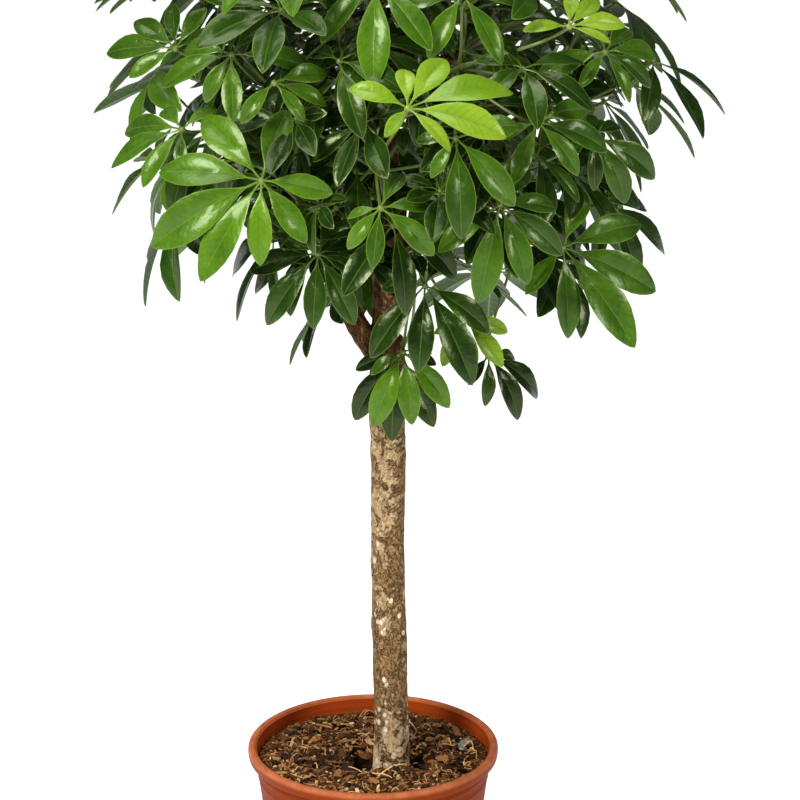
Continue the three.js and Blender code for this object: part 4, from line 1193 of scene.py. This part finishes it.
# %% [markdown]
# ## Trunk, limbs and twigs
# The wood could be a pipe for each limb, but pipes that merely cross show a hard line at each
# fork. Here the pipes are filled into one skin by a voxel remesh, which closes the forks, and
# then each point of the skin moves along its normal by a seeded noise, for the relief.


# %% Value noise
LATTICE = 32


def value_noise(points, cell, seed):
    """Seeded heights from -1 to 1 on a cubic lattice, eased between the eight corners of a cell."""
    lattice = np.random.default_rng(seed).uniform(-1, 1, (LATTICE, LATTICE, LATTICE))
    place = points / cell
    base = np.floor(place).astype(int)
    ease = place - base
    ease = ease * ease * (3 - 2 * ease)
    total = np.zeros(len(points))
    for corner in np.ndindex(2, 2, 2):
        share = np.prod(np.where(corner, ease, 1 - ease), axis=-1)
        i, j, k = ((base + corner) % LATTICE).T
        total += share * lattice[i, j, k]
    return total


print("noise at the origin", np.round(value_noise(np.zeros((1, 3)), 9, 3), 3))


# %% Pipes of the wood
TRUNK_MESH, LIMB_MESH, TWIG_MESH = (70, 40), (26, 24), (10, 12)
TWIG_FOOT_SWELL = 1.6


def wood_pipes():
    """The trunk, the limbs and the twigs as closed pipes that cross at the forks."""
    grids = Grids()
    routes = [(TRUNK_ROUTE, TRUNK_RADII, TRUNK_MESH)]
    routes += [(LIMB_ROUTES[name], LIMB_RADII[name], LIMB_MESH) for name in LIMB_ROUTES]
    for route, radii, (rings, sides) in routes:
        grids.add_pipe(*sampled_route(route, radii, rings - 1), sides)
    rings, sides = TWIG_MESH
    t = np.linspace(0, 1 - SHOOT_SHARE, rings)
    for shoot in shoots:
        grids.add_pipe(shoot.way(t), TWIG_RADIUS + TWIG_FOOT_SWELL * (1 - t / t[-1]) ** 2, sides)
    return grids.piece("wood_pipes", [])


pipes = wood_pipes()
print("faces of the wood's pipes", len(pipes.data.polygons))

# %% One skin
WOOD_VOXEL_MM = 1.7


def evaluated_mesh(made):
    """A copy of the object's mesh with its modifiers worked in."""
    bpy.context.view_layer.update()
    evaluated = made.evaluated_get(bpy.context.evaluated_depsgraph_get())
    return bpy.data.meshes.new_from_object(evaluated)


def one_skin(made, voxel_mm):
    """The object's pipes as one closed skin; the object itself is removed."""
    remesh = made.modifiers.new("skin", "REMESH")
    remesh.mode, remesh.voxel_size = "VOXEL", voxel_mm * MM
    mesh = evaluated_mesh(made)
    bpy.data.objects.remove(made)
    return mesh


skin = one_skin(pipes, WOOD_VOXEL_MM)
print("faces of the wood's skin", len(skin.polygons))

# %% [markdown]
# The remesh leaves small steps, which a few rounds of relaxing smooth away, and it takes a
# little off the pipes, so the skin moves out again by that much. The knots of the trunk are
# rows of height, turn round the trunk, rise and size.

# %% Relief of the wood
WOOD_LOSS_MM, SMOOTHING_ROUNDS = 0.8, 3
TRUNK_KNOTS = [(372, 2.9, 1.6, 9), (300, 0.4, 1.3, 8), (520, -1.2, 1.2, 9), (250, -2.0, 1.1, 7)]
KNOT_OUT_MM = 17.5
LIMBS_FROM, LIMB_RELIEF = 700, 0.6
RELIEF_FROM, RELIEF_BAND = 150, 20


def read_points(mesh, what="co"):
    """The mesh's points, or their normals, as rows of three numbers."""
    values = np.empty(len(mesh.vertices) * 3, np.float32)
    mesh.vertices.foreach_get(what, values)
    return values.reshape(-1, 3).astype(float)


def write_points(mesh, points):
    """Moves the mesh's points, and works out its normals again."""
    mesh.vertices.foreach_set("co", points.astype(np.float32).ravel())
    mesh.update()


def relax(mesh, points, rounds):
    """Each point moves half way to the mean of its neighbours, which rounds the voxel steps."""
    edges = np.empty(len(mesh.edges) * 2, np.int32)
    mesh.edges.foreach_get("vertices", edges)
    first, second = edges.reshape(-1, 2).T
    counts = np.bincount(edges, minlength=len(points))[:, None]
    for _ in range(rounds):
        total = np.zeros_like(points)
        for axis in range(3):
            total[:, axis] = (np.bincount(first, points[second, axis], len(points))
                              + np.bincount(second, points[first, axis], len(points)))
        points = 0.5 * points + 0.5 * total / counts
    return points


def wood_relief(points):
    """Two sizes of noise, weaker on the limbs, and the trunk's knots; nothing down in the soil."""
    relief = 0.55 * value_noise(points * [1, 1, 0.45], 9, 3)
    relief = relief + 0.45 * value_noise(points * [1, 1, 0.7], 4.5, 4)
    relief = np.where(points[:, 2] > LIMBS_FROM, LIMB_RELIEF, 1.0) * relief
    trunk_length = TRUNK_ROUTE[-1][2] - TRUNK_FOOT
    for height, turn, rise, size in TRUNK_KNOTS:
        centre = on_route(np.array(TRUNK_ROUTE, float), (height - TRUNK_FOOT) / trunk_length)
        knot = centre + KNOT_OUT_MM * np.array([math.cos(turn), math.sin(turn), 0])
        relief += rise * np.exp(-((points - knot) ** 2).sum(1) / size ** 2)
    return relief * np.clip((points[:, 2] - RELIEF_FROM) / RELIEF_BAND, 0, 1)


def wood(mesh):
    """The skin of the pipes, relaxed, and moved out along its normals by its relief."""
    points = relax(mesh, read_points(mesh), SMOOTHING_ROUNDS)
    write_points(mesh, points)
    points = points / MM
    out = WOOD_LOSS_MM + wood_relief(points)
    write_points(mesh, (points + read_points(mesh, "normal") * out[:, None]) * MM)
    mesh.polygons.foreach_set("use_smooth", [True] * len(mesh.polygons))
    mesh.materials.clear()
    mesh.materials.append(BARK)
    made = new_object("trunk_and_limbs", mesh)
    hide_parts("wood")
    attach(made, "root")
    return made


trunk_and_limbs = wood(skin)
print("faces of the wood", len(trunk_and_limbs.data.polygons))

# %% [markdown]
# ## Pot
# The pot is injection-moulded: one thin wall with a rolled lip. Turning a profile round an
# axis gives it exactly. The lip is a smooth curve through a few points, with a fine groove at
# its inner edge. The wall is straight, with three fine ridges, and six drain holes are cut
# through the floor with a Boolean.


# %% Pot finish
POT_HEIGHT, LIP_RADIUS, SHOULDER = 215, 135, 202
WALL_TOP_RADIUS, BASE_RADIUS, WALL = 127, 100, 2.6
WALL_SLOPE = (WALL_TOP_RADIUS - BASE_RADIUS) / SHOULDER


def pot_plastic():
    """Cloudy orange-brown, duller outside and painted darker there as shade, with a patchy painted
    highlight on top of the lip, a little dusty.
    """
    recipe = Recipe("pot_plastic")
    place, z_mm = recipe.place(), recipe.mm(2)
    flat = recipe.node("VectorMath", {0: recipe.place(), 1: (1, 1, 0)}, operation="MULTIPLY")
    length = recipe.node("VectorMath", {0: flat}, output="Value", operation="LENGTH")
    radius_mm = length * (1 / MM)
    outer = recipe.band(radius_mm - z_mm * WALL_SLOPE, BASE_RADIUS - 1.8, BASE_RADIUS - 0.8)
    cloud, grain = recipe.noise(place, 9.0, 4.0), recipe.noise(place, 900.0, 2.0, 0.6)
    colour = recipe.ramp(cloud, (0.3, (0.310, 0.041, 0.005)), (0.7, (0.390, 0.058, 0.009)))
    # Painted shade: the outer wall is darker, though inside and outside are one plastic.
    colour = recipe.blend(outer * 0.9, colour, (0.180, 0.024, 0.001))
    # A painted highlight, in patches, on top of the lip.
    top = recipe.band(z_mm, POT_HEIGHT - 7, POT_HEIGHT - 2)
    top = top * recipe.band(radius_mm, LIP_RADIUS - 9.2, LIP_RADIUS - 8.2)
    lip_highlight = recipe.band(recipe.noise(place, 60.0, 4.0, 0.65), 0.35, 0.75) * 0.4 + 0.45
    colour = recipe.blend(lip_highlight * top, colour, (0.500, 0.160, 0.068))
    dust = recipe.band(recipe.noise(recipe.place((1, 1, 0.25)), 40.0, 4.0, 0.6), 0.5, 0.85)
    colour = recipe.blend(dust * 0.07, colour, (0.45, 0.20, 0.10))
    matt = outer * recipe.band(z_mm, SHOULDER + 1, SHOULDER)
    rough = matt * 0.15 + (cloud * 0.18 + 0.4)
    height = recipe.noise(place, 18.0, 2.0) * 1.2 + grain
    return recipe.finish(colour, rough, height, 0.12, Specular_IOR_Level=0.12,
                         Specular_Tint=(1.0, 0.5, 0.3))


POT_PLASTIC = pot_plastic()
print("finish of the pot", POT_PLASTIC.name)

# %% [markdown]
# The lip's curve and groove are points measured from the wall's shoulder and the lip's
# radius: how far out, and how far up.


# %% Pot profile
LIP_CURVE = [[-3.4, 0], [-1.4, 0.5], [-0.4, 3], [0, 7.5], [-0.7, 11], [-3.2, 13], [-6.4, 12.8],
             [-7.9, 11.7]]
LIP_GROOVE = [[-8.2, 10.4], [-9.4, 10.0]]
LIP_POINTS = 29
RIDGE_DROPS, RIDGE_RISE, RIDGE_HALF = (118, 21, 9), 0.5, 0.8


def wall_radius(z):
    """Outer radius of the straight wall at a height."""
    return BASE_RADIUS + WALL_SLOPE * z


def pot_profile():
    """Radius and height from under the middle, up the wall, round the lip and down inside."""
    outside = [[0, 0], [BASE_RADIUS - 2.5, 0], [BASE_RADIUS - 0.7, 0.7], [BASE_RADIUS, 2.5]]
    for drop in RIDGE_DROPS:
        for step, rise in ((-RIDGE_HALF, 0), (0, RIDGE_RISE), (RIDGE_HALF, 0)):
            z = SHOULDER - drop + step
            outside.append([wall_radius(z) + rise, z])
    outside.append([WALL_TOP_RADIUS, SHOULDER - 0.2])
    shares = np.linspace(0, 1, LIP_POINTS)
    curve = [on_route(np.array(LIP_CURVE, float), share) for share in shares]
    lip = np.array(curve + LIP_GROOVE) + [LIP_RADIUS, SHOULDER]
    inner_top, inner_base = WALL_TOP_RADIUS - WALL, BASE_RADIUS - WALL
    inside = [[inner_top + 1.2, SHOULDER - 1], [inner_top, SHOULDER - 6], [inner_base, WALL + 3],
              [inner_base - 2, WALL + 1], [0, WALL + 1]]
    return np.concatenate([outside, lip, inside])


print("points of the pot's profile", len(pot_profile()))

# %% Turned pot
TURN_STEPS = 160
DRAIN_HOLES, DRAIN_RADIUS, DRAIN_CIRCLE, DRAIN_SIDES = 6, 7, 64, 28
DRILL_HEIGHTS = np.array([-5.0, 4.0, 14.0])


def turned(profile, steps):
    """The profile carried round the Z axis; its two end points, on the axis, close as fans."""
    cosines, sines = circle(steps)
    ring = profile[1:-1]
    radii, heights = ring[:, :1], np.repeat(ring[:, 1:], steps, 1)
    points = np.stack([radii * cosines, radii * sines, heights], -1).reshape(-1, 3)
    points = np.concatenate([points, [[0, 0, profile[0, 1]], [0, 0, profile[-1, 1]]]])
    here = np.arange(steps)
    after = (here + 1) % steps
    last = (len(ring) - 1) * steps
    low = np.stack([after, here, np.full(steps, len(points) - 2)], -1)
    high = np.stack([last + here, last + after, np.full(steps, len(points) - 1)], -1)
    return points, [grid_faces(len(ring), steps, wrap=True), low, high]


def drain_drills():
    """Upright pipes through the floor, where the drain holes go."""
    drills = Grids()
    for k in range(DRAIN_HOLES):
        angle = 2 * math.pi * k / DRAIN_HOLES
        centre = np.array([DRAIN_CIRCLE * math.cos(angle), DRAIN_CIRCLE * math.sin(angle), 0])
        path = centre + DRILL_HEIGHTS[:, None] * UP
        drills.add_pipe(path, np.full(len(path), DRAIN_RADIUS), DRAIN_SIDES)
    return drills.piece("drills", [])


def pot():
    """The turned profile with its drain holes cut."""
    grids = Grids()
    grids.add(*turned(pot_profile(), TURN_STEPS))
    made = grids.piece("turned_pot", [POT_PLASTIC], sharp=35)
    drill = drain_drills()
    cut = made.modifiers.new("drain holes", "BOOLEAN")
    cut.operation, cut.solver, cut.object = "DIFFERENCE", "EXACT", drill
    made.data = evaluated_mesh(made)
    made.modifiers.clear()
    bpy.data.objects.remove(drill)
    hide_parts("pot")
    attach(made, "root")
    return made


turned_pot = pot()
print("faces of the pot", len(turned_pot.data.polygons))

# %% [markdown]
# ## Potting mix
# The mix is dark crumb with red-brown bark chips and chunks, a few pale straws, tan fibres,
# wiry roots, round pellets and scraps of a dry leaf. The crumb is a bed whose height is seeded
# noise, with a hollow on each side of the trunk. All the rest are small closed solids
# scattered on it by seeded draws, each as simple as its size allows.


# %% Soil finishes
SOIL_LEVEL = 197
DARK_CRUMB_AND_SHADE = (0.004, 0.0015, 0.0005)


def soil_crumb():
    """Crumbs of mixed tone, finer grit over them whose near-black gaps are partly painted shadow, and
    painted shade low in the hollows.
    """
    recipe = Recipe("soil_crumb")
    place = recipe.place()
    crumbs, tone = recipe.cells(place, 380.0), recipe.cell_draw(place, 380.0)
    grit = recipe.noise(place, 800.0, 4.0, 0.75)
    colour = recipe.ramp(tone, (0.0, (0.003, 0.001, 0.0005)), (0.45, (0.036, 0.012, 0.003)),
                         (0.8, (0.170, 0.068, 0.017)), (1.0, (0.480, 0.240, 0.080)))
    # Near-black grit between the crumbs: partly dark crumb, partly painted shadow in the gaps.
    grit_and_gap_shade = recipe.ramp(grit, (0.4, DARK_CRUMB_AND_SHADE), (0.7, (0.280, 0.120, 0.036)))
    colour = recipe.blend(0.3, colour, grit_and_gap_shade)
    # Painted shade: the crumb turns near black low in the hollows.
    deep = recipe.band(recipe.mm(2), SOIL_LEVEL - 2.5, SOIL_LEVEL - 8)
    colour = recipe.blend(deep * 0.9, colour, DARK_CRUMB_AND_SHADE)
    return recipe.finish(colour, 0.85, grit * 0.6 - crumbs * 1.2, 1.6, Specular_IOR_Level=0.08)


def bark_chip():
    """Grain along the chip; the note of tone runs from wet black bark to pale straw."""
    recipe = Recipe("bark_chip")
    grain = recipe.noise(recipe.note("blade_mm"), 0.8, 5.0, 0.7)
    tone = recipe.note("leaf_tone", 0) + (grain - 0.5) * 0.7
    colour = recipe.ramp(
        tone, (0.0, (0.007, 0.002, 0.0006)), (0.3, (0.052, 0.017, 0.003)),
        (0.52, (0.190, 0.070, 0.018)), (0.75, (0.440, 0.205, 0.068)), (1.0, (0.820, 0.540, 0.240)))
    return recipe.finish(colour, 0.6, grain, 1.0, Specular_IOR_Level=0.2)


def leaf_scrap():
    """A fallen leaf's dry grey-green skin."""
    recipe = Recipe("leaf_scrap")
    stain = recipe.noise(recipe.place(), 220.0)
    colour = recipe.ramp(stain, (0.35, (0.100, 0.095, 0.070)), (0.65, (0.300, 0.280, 0.225)))
    return recipe.finish(colour, 0.6, stain, 0.8)


SOIL_FINISHES = [soil_crumb(), bark_chip(), leaf_scrap()]
print("soil finishes", [finish.name for finish in SOIL_FINISHES])

# %% [markdown]
# Three sizes of noise make the bed: lumps, crumbs and grain, in rows of rise, size and seed.
# A hollow is a row too: its middle, its two half widths and its depth.


# %% Soil bed
BED_RINGS, BED_STEPS, BED_DROP = 100, 260, 1.5
BED_NOISE = [(1.8, 16, 21), (1.4, 6.5, 22), (1.1, 2.6, 23)]
HOLLOWS = [(-12, -2, 13, 26, 32), (50, -4, 10, 17, 18)]
BANK_RISE, BANK_FROM, BANK_WIDTH = 3.5, 92, 22
SOIL_GAP = 0.6


def from_hollow(x, y, middle_x, middle_y, half_x, half_y):
    """How far out a place lies from a hollow, squared: 1 at the hollow's own oval."""
    return ((x - middle_x) / half_x) ** 2 + ((y - middle_y) / half_y) ** 2


def bed_height(x, y):
    """Height of the crumb: its noise, a hollow on each side of the trunk and a rise to the wall."""
    flat = np.stack([x, y, np.zeros_like(x)], -1).reshape(-1, 3)
    lumps = sum(rise * value_noise(flat, size, seed) for rise, size, seed in BED_NOISE)
    hollow = sum(deep * np.exp(-from_hollow(x, y, *place)) for *place, deep in HOLLOWS)
    bank = BANK_RISE * np.clip((np.hypot(x, y) - BANK_FROM) / BANK_WIDTH, 0, 1) ** 2
    return SOIL_LEVEL - BED_DROP + lumps.reshape(x.shape) - hollow + bank


def soil_wall_radius(z):
    """Radius of the mix at a height: the pot's inside, less a small gap."""
    slope = (WALL_TOP_RADIUS - BASE_RADIUS) / (SHOULDER - 4)
    return BASE_RADIUS - WALL + slope * (z - WALL - 1) - SOIL_GAP


def soil_bed(grids):
    """Rings over the top, then down the wall and across the underside."""
    cosines, sines = circle(BED_STEPS)
    radii = np.linspace(1.5, soil_wall_radius(SOIL_LEVEL - 3), BED_RINGS)[:, None]
    x, y = radii * cosines, radii * sines
    top = np.stack([x, y, bed_height(x, y)], -1)
    floor = WALL + 1.3
    low = soil_wall_radius(floor)
    rim = np.stack([low * cosines, low * sines, np.full(BED_STEPS, floor)], -1)[None]
    under = rim * [0.02, 0.02, 1]
    shell = np.concatenate([under, rim, top[::-1]])
    grids.add(shell.reshape(-1, 3), pipe_faces(len(shell), BED_STEPS))


hollow_height = bed_height(np.array([-12.0]), np.array([-2.0]))
print("height of the mix in the left hollow", np.round(hollow_height, 1), "mm")

# %% [markdown]
# A chip could be a box, but a row of equal boxes looks cut. Each chip here is a flat ring of
# six corners above and below, and every corner, the tilt, the turn and the tone are drawn.


# %% Chips
BED_REACH, TRUNK_GAP = 112.0, 5
CHIP_CORNERS, CHIP_TOP = 6, 7


def turned_about(axis_turns):
    """Rotation matrices from three angles each: tip about X, tip about Y, then turn about Z."""
    cx, cy, cz = np.cos(axis_turns).T
    sx, sy, sz = np.sin(axis_turns).T
    rows = [[cz * cy, cz * sy * sx - sz * cx, cz * sy * cx + sz * sx],
            [sz * cy, sz * sy * sx + cz * cx, sz * sy * cx - cz * sx],
            [-sy, cy * sx, cy * cx]]
    return np.moveaxis(np.array(rows), -1, 0)


def scatter(rng, count, reach=BED_REACH, front=-BED_REACH):
    """Even places on the bed, clear of the trunk and its hollows, and none nearer than the front."""
    radius = reach * np.sqrt(rng.random(count * 2))
    turn = rng.uniform(0, 2 * np.pi, count * 2)
    x, y = radius * np.cos(turn), radius * np.sin(turn)
    trunk_x, trunk_y, _ = TRUNK_ROUTE[0]
    free = (np.hypot(x - trunk_x, y - trunk_y) > TRUNK_RADII[0] + TRUNK_GAP) & (y > front)
    for *place, _ in HOLLOWS:
        free &= from_hollow(x, y, *place) > 1.2
    return x[free][:count], y[free][:count]


def chip_faces(count):
    """The sides of every chip, and its fans over the upper and under the lower ring."""
    n = CHIP_CORNERS
    here, after = np.arange(n), (np.arange(n) + 1) % n
    sides = np.stack([n + here, n + after, after, here], -1)
    over = np.stack([here, after, np.full(n, 2 * n)], -1)
    below = np.stack([n + after, n + here, np.full(n, 2 * n + 1)], -1)
    start = (np.arange(count) * (2 * n + 2))[:, None, None]
    return [(part[None] + start).reshape(-1, part.shape[1]) for part in (sides, over, below)]


def add_chips(grids, rng, places, lengths, tones, lift, tip=0.34, bulk=1.0, slot=1):
    """Flat six-sided chips: a ring above and below with each corner moved, over a raised middle."""
    x, y = np.array(places, float)
    count, n = len(x), CHIP_CORNERS
    cosines, sines = circle(n)
    size = rng.uniform(*lengths, (count, 1))
    ring = (1 + 0.55 * (rng.random((count, n)) - 0.5))[..., None]
    narrow = rng.uniform(0.22, 0.62, (count, 1))
    flat = np.stack([cosines + 0 * narrow, narrow * sines], -1)
    flat = flat * ring * size[..., None] / 2
    thick = bulk * rng.uniform(0.9, 2.0, (count, 1)) * (0.7 + 0.03 * size)
    uneven = (thick * (1 + 0.5 * (rng.random((count, n)) - 0.5)))[..., None] / 2
    upper, lower = np.concatenate([flat * 0.86, uneven], -1), np.concatenate([flat, -uneven], -1)
    middles = np.concatenate([np.zeros((count, 2, 2)), np.stack([thick, -thick], 1) * 0.62], -1)
    local = np.concatenate([upper, lower, middles], 1)
    tips = np.stack([rng.normal(0, tip, count), rng.normal(0, tip, count),
                     rng.uniform(0, 6.3, count)], -1)
    points = np.einsum("nij,nkj->nki", turned_about(tips), local)
    points += np.stack([x, y, bed_height(x, y) + lift], -1)[:, None]
    points[..., 2] = np.minimum(points[..., 2], SOIL_LEVEL + CHIP_TOP)
    grain = local * [0.35, 2.2, 2.2] + rng.uniform(0, 90, (count, 1, 3))
    tone = np.repeat(rng.uniform(*tones, (count, 1, 1)), 2 * n + 2, 1) * [1, 0, 0]
    grids.add(points.reshape(-1, 3), chip_faces(count), slot, grain.reshape(-1, 3),
              tone.reshape(-1, 3))


print("faces a chip", sum(len(part) for part in chip_faces(1)))


# %% Fibres and pellets
STRAWS = [((3, -56), 47, (0.95, 0.65), 10, 3.0, 0.9, 1.0),
          ((-3, -44), 26, (-0.6, -0.3), 8, 2.5, 0.7, 0.95),
          ((-34, -22), 30, (-0.9, -0.5), 8, 2.5, 0.6, 0.9)]
PELLET_RINGS, PELLET_SIDES = np.array([-0.98, -0.6, 0, 0.6, 0.98]), 7
LIE = np.linspace(-0.5, 0.5, 8)


def add_fibre(grids, place, long, heading, rise, thick, tone):
    """A thin three-sided pipe: headings turn along it, and it bows up from the mix by the rise."""
    t = np.linspace(-0.5, 0.5, len(heading))
    x = place[0] + np.cumsum(np.cos(heading)) * long / len(t)
    y = place[1] + np.cumsum(np.sin(heading)) * long / len(t)
    fit = np.minimum(1, BED_REACH / np.hypot(x, y))
    x, y = x * fit, y * fit
    z = bed_height(x, y) * 0.25 + 0.75 * SOIL_LEVEL + 2.2 + rise * np.cos(t * 3)
    path = np.stack([x, y, z], -1)
    grids.add_pipe(path, thick * (1 - 0.5 * np.abs(t)), 3, 1,
                   blade_mm=path.repeat(3, 0) * 0.3, leaf_tone=(tone, 0, 0))


def add_fibres(grids, rng, count):
    """Many short fibres that lie about, most curled and a few bowed well up."""
    x, y = scatter(rng, count, 108)
    for place in zip(x, y):
        curl, sway = rng.normal(0, 0.9), rng.normal(0, 0.35)
        heading = rng.uniform(0, 6.3) + curl * LIE + sway * np.sin(LIE * 9)
        rise = rng.uniform(0.2, 1.8) + 5 * rng.random() ** 6
        thick = 0.2 + 0.6 * rng.random() ** 3
        add_fibre(grids, place, rng.uniform(7, 26), heading, rise, thick, rng.uniform(0.45, 1.0))


def add_loops(grids, rng, count):
    """Wiry roots that bow up beside the wall, where watering washes them."""
    radius, turn = rng.uniform(88, 106, count), rng.uniform(-0.4, np.pi + 0.4, count)
    for place in zip(radius * np.cos(turn), radius * np.sin(turn)):
        heading = rng.uniform(0, 6.3) + rng.normal(0, 0.8) * LIE
        add_fibre(grids, place, rng.uniform(14, 26), heading, rng.uniform(4, 9), 0.45,
                  rng.uniform(0.7, 1.0))


def add_straws(grids):
    """Three pale straws in front of the trunk, two of them crossing, as in the photograph."""
    for place, long, turns, points, *rest in STRAWS:
        add_fibre(grids, place, long, np.linspace(*turns, points), *rest)


def add_pellets(grids, rng, count):
    """Small round pellets, half sunk: rings of points between two poles."""
    x, y = scatter(rng, count, 104)
    for px, py in zip(x, y):
        size = rng.uniform(1.4, 2.3)
        path = np.array([px, py, bed_height(px, py) + 1.4]) + PELLET_RINGS[:, None] * UP * size
        grids.add_pipe(path, size * np.sqrt(1 - PELLET_RINGS ** 2), PELLET_SIDES, 1,
                       blade_mm=path.repeat(PELLET_SIDES, 0) * 0.2,
                       leaf_tone=(rng.uniform(0.75, 0.9), 0, 0))


print("straws laid by hand", len(STRAWS))

# %% [markdown]
# Chips come in batches, from fine to coarse. Each row holds how many, how near to the front
# they may lie, their lengths and tones, how high they ride, and for some how far they tip and
# how much thicker they are.


# %% Potting mix
CHIP_BATCHES = [
    (1500, -BED_REACH, (2.2, 6), (0.0, 0.86), 1.0),
    (230, -BED_REACH, (7, 14), (0.0, 0.80), 1.9),
    (90, -45, (13, 26), (0.0, 0.74), 2.8),
    (130, -BED_REACH, (3, 8), (0.85, 1.0), 1.8),
    (60, -60, (9, 18), (0.0, 0.7), 4.0, 0.7),
    (46, 0, (8, 16), (0.0, 0.42), 3.0, 0.4, 3.6),
]
SCRAP_PLACES = [(92, 100, 96), (27, 29, 20)]
FIBRES, LOOPS, PELLETS = 250, 26, 30
SOIL_SEED = 5


def potting_mix():
    """The bed, then chips, scraps of leaf, fibres, roots, straws and pellets, as one piece."""
    rng = np.random.default_rng(SOIL_SEED)
    grids = Grids()
    soil_bed(grids)
    for count, front, *look in CHIP_BATCHES:
        add_chips(grids, rng, scatter(rng, count, front=front), *look)
    add_chips(grids, rng, SCRAP_PLACES, (15, 19), (0.0, 1.0), 4.5, tip=0.15, slot=2)
    add_fibres(grids, rng, FIBRES)
    add_loops(grids, rng, LOOPS)
    add_straws(grids)
    add_pellets(grids, rng, PELLETS)
    made = grids.piece("potting_mix", SOIL_FINISHES, sharp=32)
    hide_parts("soil")
    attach(made, "root")
    return made


mix = potting_mix()
print("faces of the potting mix", len(mix.data.polygons))

# %% [markdown]
# ## Floor and light
# The photograph has no surroundings, so the plant stands on a wide pale floor. A sun as wide
# as a studio ceiling, nearly overhead, whitens that floor to the horizon and lays broad
# highlights on the leaves, while a dim sky leaves their dark sides dark. A large soft light
# high on the left and in front gives the crisper sheen, and a weaker one on the right opens
# the shadows.

# %% Floor
FLOOR_RADIUS, FLOOR_SIDES, FLOOR_DROP = 40.0, 64, 0.0005


def floor():
    """A round flat sheet just under the pot. It is stage and no part of the plant."""
    recipe = Recipe("floor_paint")
    recipe.finish((0.93, 0.93, 0.93), 0.9)
    grids = Grids()
    cosines, sines = circle(FLOOR_SIDES)
    ring = np.stack([cosines, sines, np.zeros(FLOOR_SIDES)], -1) * FLOOR_RADIUS / MM
    grids.add(ring, [np.arange(FLOOR_SIDES)[None]])
    made = grids.piece("floor", [recipe.material])
    made.location.z = -FLOOR_DROP


floor()
print("floor", FLOOR_RADIUS, "m round the plant")

# %% Sky and lamps
SKY_STRENGTH = 0.13
SUN_STRENGTH, SUN_WIDTH, SUN_TILTS = 3.2, 50, (-2, -8)
LAMP_AIM = (0, 0, 0.7)

world = bpy.data.worlds.new("sky")
bpy.context.scene.world = world
world.use_nodes = True
sky = world.node_tree.nodes["Background"].inputs
sky["Color"].default_value = (1, 1, 1, 1)
sky["Strength"].default_value = SKY_STRENGTH


def soft_light(name, place, size, power):
    """A round lamp, with its place and size in metres and its power in watts, turned to the aim."""
    lamp = bpy.data.lights.new(name, "AREA")
    lamp.shape, lamp.size, lamp.energy = "DISK", size, power
    made = new_object(name, lamp)
    made.location = place
    x, y, z = np.array(LAMP_AIM) - np.array(place)
    made.rotation_euler = (math.atan2(math.hypot(x, y), -z), 0, math.atan2(-x, y))


soft_light("key", (-1.8, -2.3, 2.7), 1.4, 136)
soft_light("fill", (2.4, -2.0, 2.0), 0.9, 40)
sun = bpy.data.lights.new("ceiling", "SUN")
sun.energy, sun.angle = SUN_STRENGTH, math.radians(SUN_WIDTH)
ceiling = new_object("ceiling", sun)
ceiling.rotation_euler = (math.radians(SUN_TILTS[0]), math.radians(SUN_TILTS[1]), 0)
bpy.context.scene.view_settings.view_transform = "Standard"
print("lamps", [lamp.name for lamp in bpy.data.lights])
